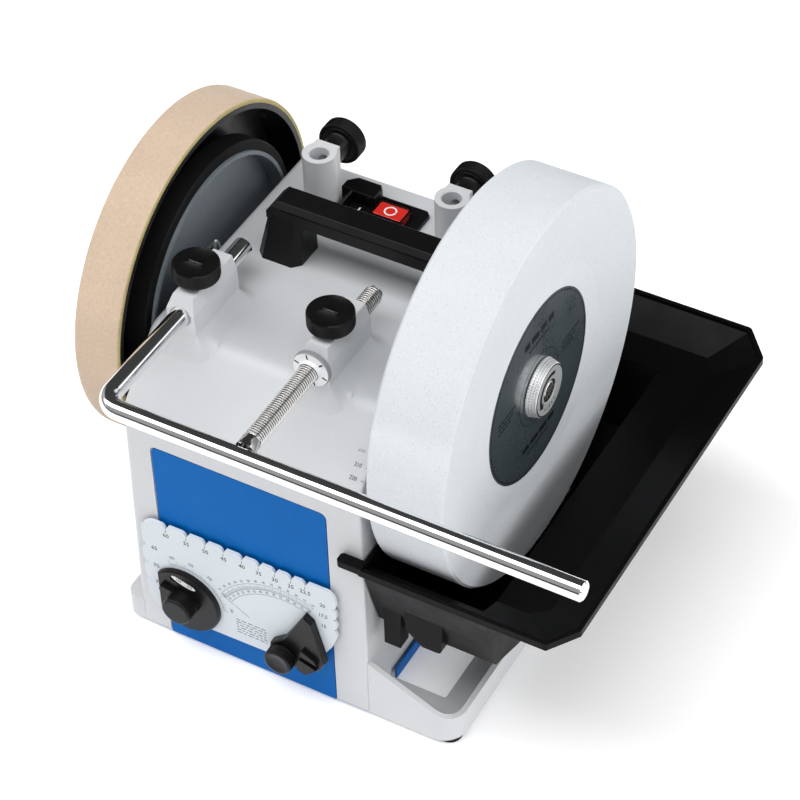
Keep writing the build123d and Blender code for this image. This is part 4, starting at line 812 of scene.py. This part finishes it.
# ------------------------------------------------------------------ gauge print
def gauge_print():
    s, g = Soup(), Soup()
    o = P(0, -124.0, 0)
    top_n = (60, 55, 50, 45, 40, 35, 30, 25, "22,5")
    xs = (-194.7, -179.8, -166.3, -153.2, -140.2, -128.4, -117.0, -105.8, -95.8)
    for n, x in zip(top_n, xs):
        s.text(str(n), 3.3, (x, -106.2), o, X, Z, 0.05)
        s.bar((x, -101.4), (x, -103.4), 0.35, o, X, Z, 0.05)
    for n, z in ((65, -121.5), (70, -137.5), (75, -153.0)):
        s.text(str(n), 3.3, (-204.6, z - 0.5), o, X, Z, 0.05)
    for n, z in (("20", -112.0), ("17,5", -121.4), ("15", -130.4)):
        s.text(n, 3.1, (-84.2, z), o, X, Z, 0.05, squeeze=0.9)
    # pointer scale round the pivot
    cx, cy = -112.0, -167.0
    for r, w in ((45.2, 0.3), (49.2, 0.3), (53.4, 0.25)):
        g.arc(cx, cy, r, 66, 148, w, o, X, Z, 0.04, 60)
    for k in range(14):
        a = 146 - 78 * k / 13
        c, q = math.cos(math.radians(a)), math.sin(math.radians(a))
        s.text(str(10 + 5 * k), 1.9, (cx + 47.2 * c, cy + 47.2 * q), o, X, Z, 0.04, turn=a - 90, squeeze=0.85)
        s.text(str(75 - 5 * k), 1.9, (cx + 55.6 * c, cy + 55.6 * q), o, X, Z, 0.04, turn=a - 90, squeeze=0.85)
    for k in range(79):
        a = 147 - k * 80 / 78
        c, q = math.cos(math.radians(a)), math.sin(math.radians(a))
        r1 = 51.6 if k % 6 else 52.8
        g.bar((cx + 49.4 * c, cy + 49.4 * q), (cx + r1 * c, cy + r1 * q), 0.18, o, X, Z, 0.04)
    g.bar((cx + 30 * math.cos(math.radians(149)), cy + 30 * math.sin(math.radians(149))),
          (cx + 53 * math.cos(math.radians(149)), cy + 53 * math.sin(math.radians(149))), 0.35, o, X, Z, 0.04)
    # wheel size scale round the dial
    dx, dy = -184.0, -157.5
    g.arc(dx, dy, 27.6, 5, 112, 0.3, o, X, Z, 0.04, 50)
    for k in range(37):
        a = 6 + k * 105 / 36
        c, q = math.cos(math.radians(a)), math.sin(math.radians(a))
        r1 = 29.4 if k % 4 else 30.8
        g.bar((dx + 27.8 * c, dy + 27.8 * q), (dx + r1 * c, dy + r1 * q), 0.2, o, X, Z, 0.04)
    for n, a in ((250, 104), (225, 80), (200, 56), (175, 32), (150, 10)):
        c, q = math.cos(math.radians(a)), math.sin(math.radians(a))
        s.text(str(n), 2.2, (dx + 33.6 * c, dy + 33.6 * q), o, X, Z, 0.04, turn=a - 90, squeeze=0.85)
    # a short neutral table of dashes
    random.seed(5)
    for row in range(6):
        z = -157.5 - 2.3 * row
        x = -148.0
        while x < -126:
            w = random.uniform(1.2, 4.0)
            g.bar((x, z), (min(x + w, -126), z), 0.7, o, X, Z, 0.04)
            x += w + 1.1
    s.make("gauge_numbers", "ink", "gauge", "white_print")
    g.make("gauge_scale_lines", "grey_ink_and_painted_highlight", "gauge", "white_print")
    # white legend in the dial's window
    w = Soup()
    wo = P(-183.5, -126.72, -141.0)
    ca, sa = math.cos(math.radians(-16)), math.sin(math.radians(-16))
    xd, yd = X * ca + Z * sa, -X * sa + Z * ca
    w.slab([(9.0 * math.cos(math.pi * k / 14) * 1.0, 2.4 * math.sin(math.pi * k / 14)) for k in range(28)],
           wo, xd, yd, 0.1)
    w.make("gauge_dial_window_card", "white_ink", "gauge_dial", "white_print")
    k2 = Soup()
    k2.text("250", 2.2, (-3.4, 0), wo + Vector((0, -0.00012, 0)), xd, yd, 0.05, squeeze=0.9)
    k2.text("225", 2.2, (4.6, 0), wo + Vector((0, -0.00012, 0)), xd, yd, 0.05, squeeze=0.9)
    k2.make("gauge_dial_window_numbers", "ink", "gauge_dial", "white_print")


gauge_print()


def grip_disc(name, centre, r, h, body, replaces=(), teeth=44):
    """Round gauge grip with a finely ribbed rim, z = 0 at its back."""
    SEG = teeth * 6

    def radius(i, a, rr, z):
        if rr > r - 0.2 and 0.6 < z < h - 0.8:
            return rr - 0.3 * (1 - tri(a / (2 * math.pi) * teeth))
        return rr
    rings = [(2.2, 0), (r - 0.6, 0), (r, 0.6), (r, 0.7)] + [(r, 0.7 + (h - 1.6) * k / 4) for k in range(1, 5)]
    rings += [(r - 0.15, h - 0.75), (r - 0.6, h - 0.2), (r - 1.4, h), (r - 2.6, h - 0.05), (r - 3.2, h - 0.35),
              (2.0, h - 0.55), (0.05, h - 0.55)]
    v, f = lathe(rings, centre, -Y, X, SEG, radius)
    return finish_mesh(name, v, f, ["black_satin"], body, sharp=38, replaces=replaces)


grip_disc("gauge_knob_ribbed", P(-112, -129.4, -167), 9.5, 7.5, "gauge_knob", ("gauge_knob",))

# ------------------------------------------------------------------ switch marks
s = Soup()
s.arc(0, 0, 3.6, 0, 360, 1.1, P(-136.5, 60.5, 37.1), X, Y, 0.08, 48)
s.make("stop_mark", "white_ink", "stop_button", "red_plastic")
s = Soup()
s.bar((0, -3), (0, 3), 1.0, P(-156, 54.5, 34.6), X, Y, 0.08)
s.make("start_mark", "white_ink", "start_button", "black_plastic")

# ------------------------------------------------------------------ scale cut into the sloped front
def slope_scale():
    s = Soup()
    n = Vector((0, -1, 1)).normalized()
    up = Vector((0, 1, 1)).normalized()
    o = P(-70, -101.65, 9.2) + n * 0.00003
    for num, a, b in ((160, 5.9, 20.1), (180, 6.2, 10.6), (200, 5.0, -0.1), (210, 5.7, -8.9), (220, 5.4, -16.9)):
        s.text(str(num), 2.6, (a, b), o, X, up, 0.05, squeeze=0.9)
        s.bar((a + 5.1, b), (a + 7.1, b), 0.35, o, X, up, 0.05)
    s.make("slope_scale_numbers", "grey_ink_and_painted_highlight", "machine", "housing_silver")


slope_scale()

# ------------------------------------------------------------------ camera
cam = bpy.data.cameras.new("camera")
cam.sensor_width = 36
cam.lens = 124.14
cam_ob = bpy.data.objects.new("camera", cam)
scene.collection.objects.link(cam_ob)
R_ = Vector((0.87319, 0.48682, -0.02344))
U_ = Vector((-0.32414, 0.61597, 0.71799))
B_ = Vector((0.36397, -0.61934, 0.69566))
mw = Matrix(((R_.x, U_.x, B_.x, 0), (R_.y, U_.y, B_.y, 0), (R_.z, U_.z, B_.z, 0), (0, 0, 0, 1)))
mw.translation = P(516.28, -1046.32, 1121.56)
cam_ob.matrix_world = mw
cam.clip_start = 0.05
scene.camera = cam_ob

# ------------------------------------------------------------------ floor and light
KEY, LOW, SIDE, BACK, LEFT, AMB = 4.2, 0.3, 2.0, 0.8, 0.45, 0.05

bm = bmesh.new()
bmesh.ops.create_grid(bm, x_segments=8, y_segments=8, size=6)
me = bpy.data.meshes.new("floor")
bm.to_mesh(me)
bm.free()
floor = bpy.data.objects.new("floor", me)
scene.collection.objects.link(floor)
floor.location.z = FLOOR - 0.0002
paper = surface("floor_paper", (0.92, 0.92, 0.92), rough=0.95, var=0.004, fine=0.004,
                grain=0.02, grain_scale=300, spec=0.0)
pb = [q for q in paper.node_tree.nodes if q.bl_idname == "ShaderNodeBsdfPrincipled"][0]
pb.inputs["Emission Color"].default_value = (1, 1, 1, 1)
pb.inputs["Emission Strength"].default_value = 0.21
me.materials.append(paper)

w = bpy.data.worlds.new("studio")
scene.world = w
w.use_nodes = True
nt = w.node_tree
nt.nodes.clear()
wo = node(nt, "ShaderNodeOutputWorld")
bg = node(nt, "ShaderNodeBackground")
tc = node(nt, "ShaderNodeTexCoord")
sep = node(nt, "ShaderNodeSeparateXYZ")
nt.links.new(tc.outputs["Generated"], sep.inputs[0])
wx, wy, wz = sep.outputs


def soft(val, a, b):
    m = node(nt, "ShaderNodeMapRange", interpolation_type="SMOOTHSTEP")
    m.inputs["From Min"].default_value = min(a, b)
    m.inputs["From Max"].default_value = max(a, b)
    m.inputs["To Min"].default_value = 0 if a < b else 1
    m.inputs["To Max"].default_value = 1 if a < b else 0
    nt.links.new(val, m.inputs["Value"])
    return m.outputs[0]


def times(*v):
    r = v[0]
    for q in v[1:]:
        r = math_node(nt, "MULTIPLY", r, q)
    return r


def plus(*v):
    r = v[0]
    for q in v[1:]:
        r = math_node(nt, "ADD", r, q)
    return r


# angle from straight up, positive towards the operator
ang = math_node(nt, "ARCTAN2", math_node(nt, "MULTIPLY", wy, -1), wz)
key = times(soft(ang, -0.06, 0.04), plus(times(soft(ang, 0.64, 0.50), KEY - LOW), times(soft(ang, 1.38, 1.28), LOW)),
            soft(wx, -0.97, -0.85), soft(wx, 0.55, 0.40))
side = times(soft(wx, 0.55, 0.75), soft(wz, 0.02, 0.2), SIDE)
back = times(soft(wx, 0.0, 0.3), soft(wx, 0.95, 0.8), soft(ang, -0.95, -1.05), soft(ang, -1.5, -1.4), BACK)
left = times(soft(wx, -0.80, -0.93), soft(wz, 0.02, 0.2), LEFT)
lum = plus(key, side, back, left, AMB)
comb = node(nt, "ShaderNodeCombineColor")
nt.links.new(lum, comb.inputs[0])
nt.links.new(lum, comb.inputs[1])
nt.links.new(times(lum, 1.01), comb.inputs[2])
nt.links.new(comb.outputs[0], bg.inputs[0])
bg.inputs[1].default_value = 1.0
nt.links.new(bg.outputs[0], wo.inputs[0])

scene.view_settings.view_transform = "Standard"
scene.view_settings.look = "None"
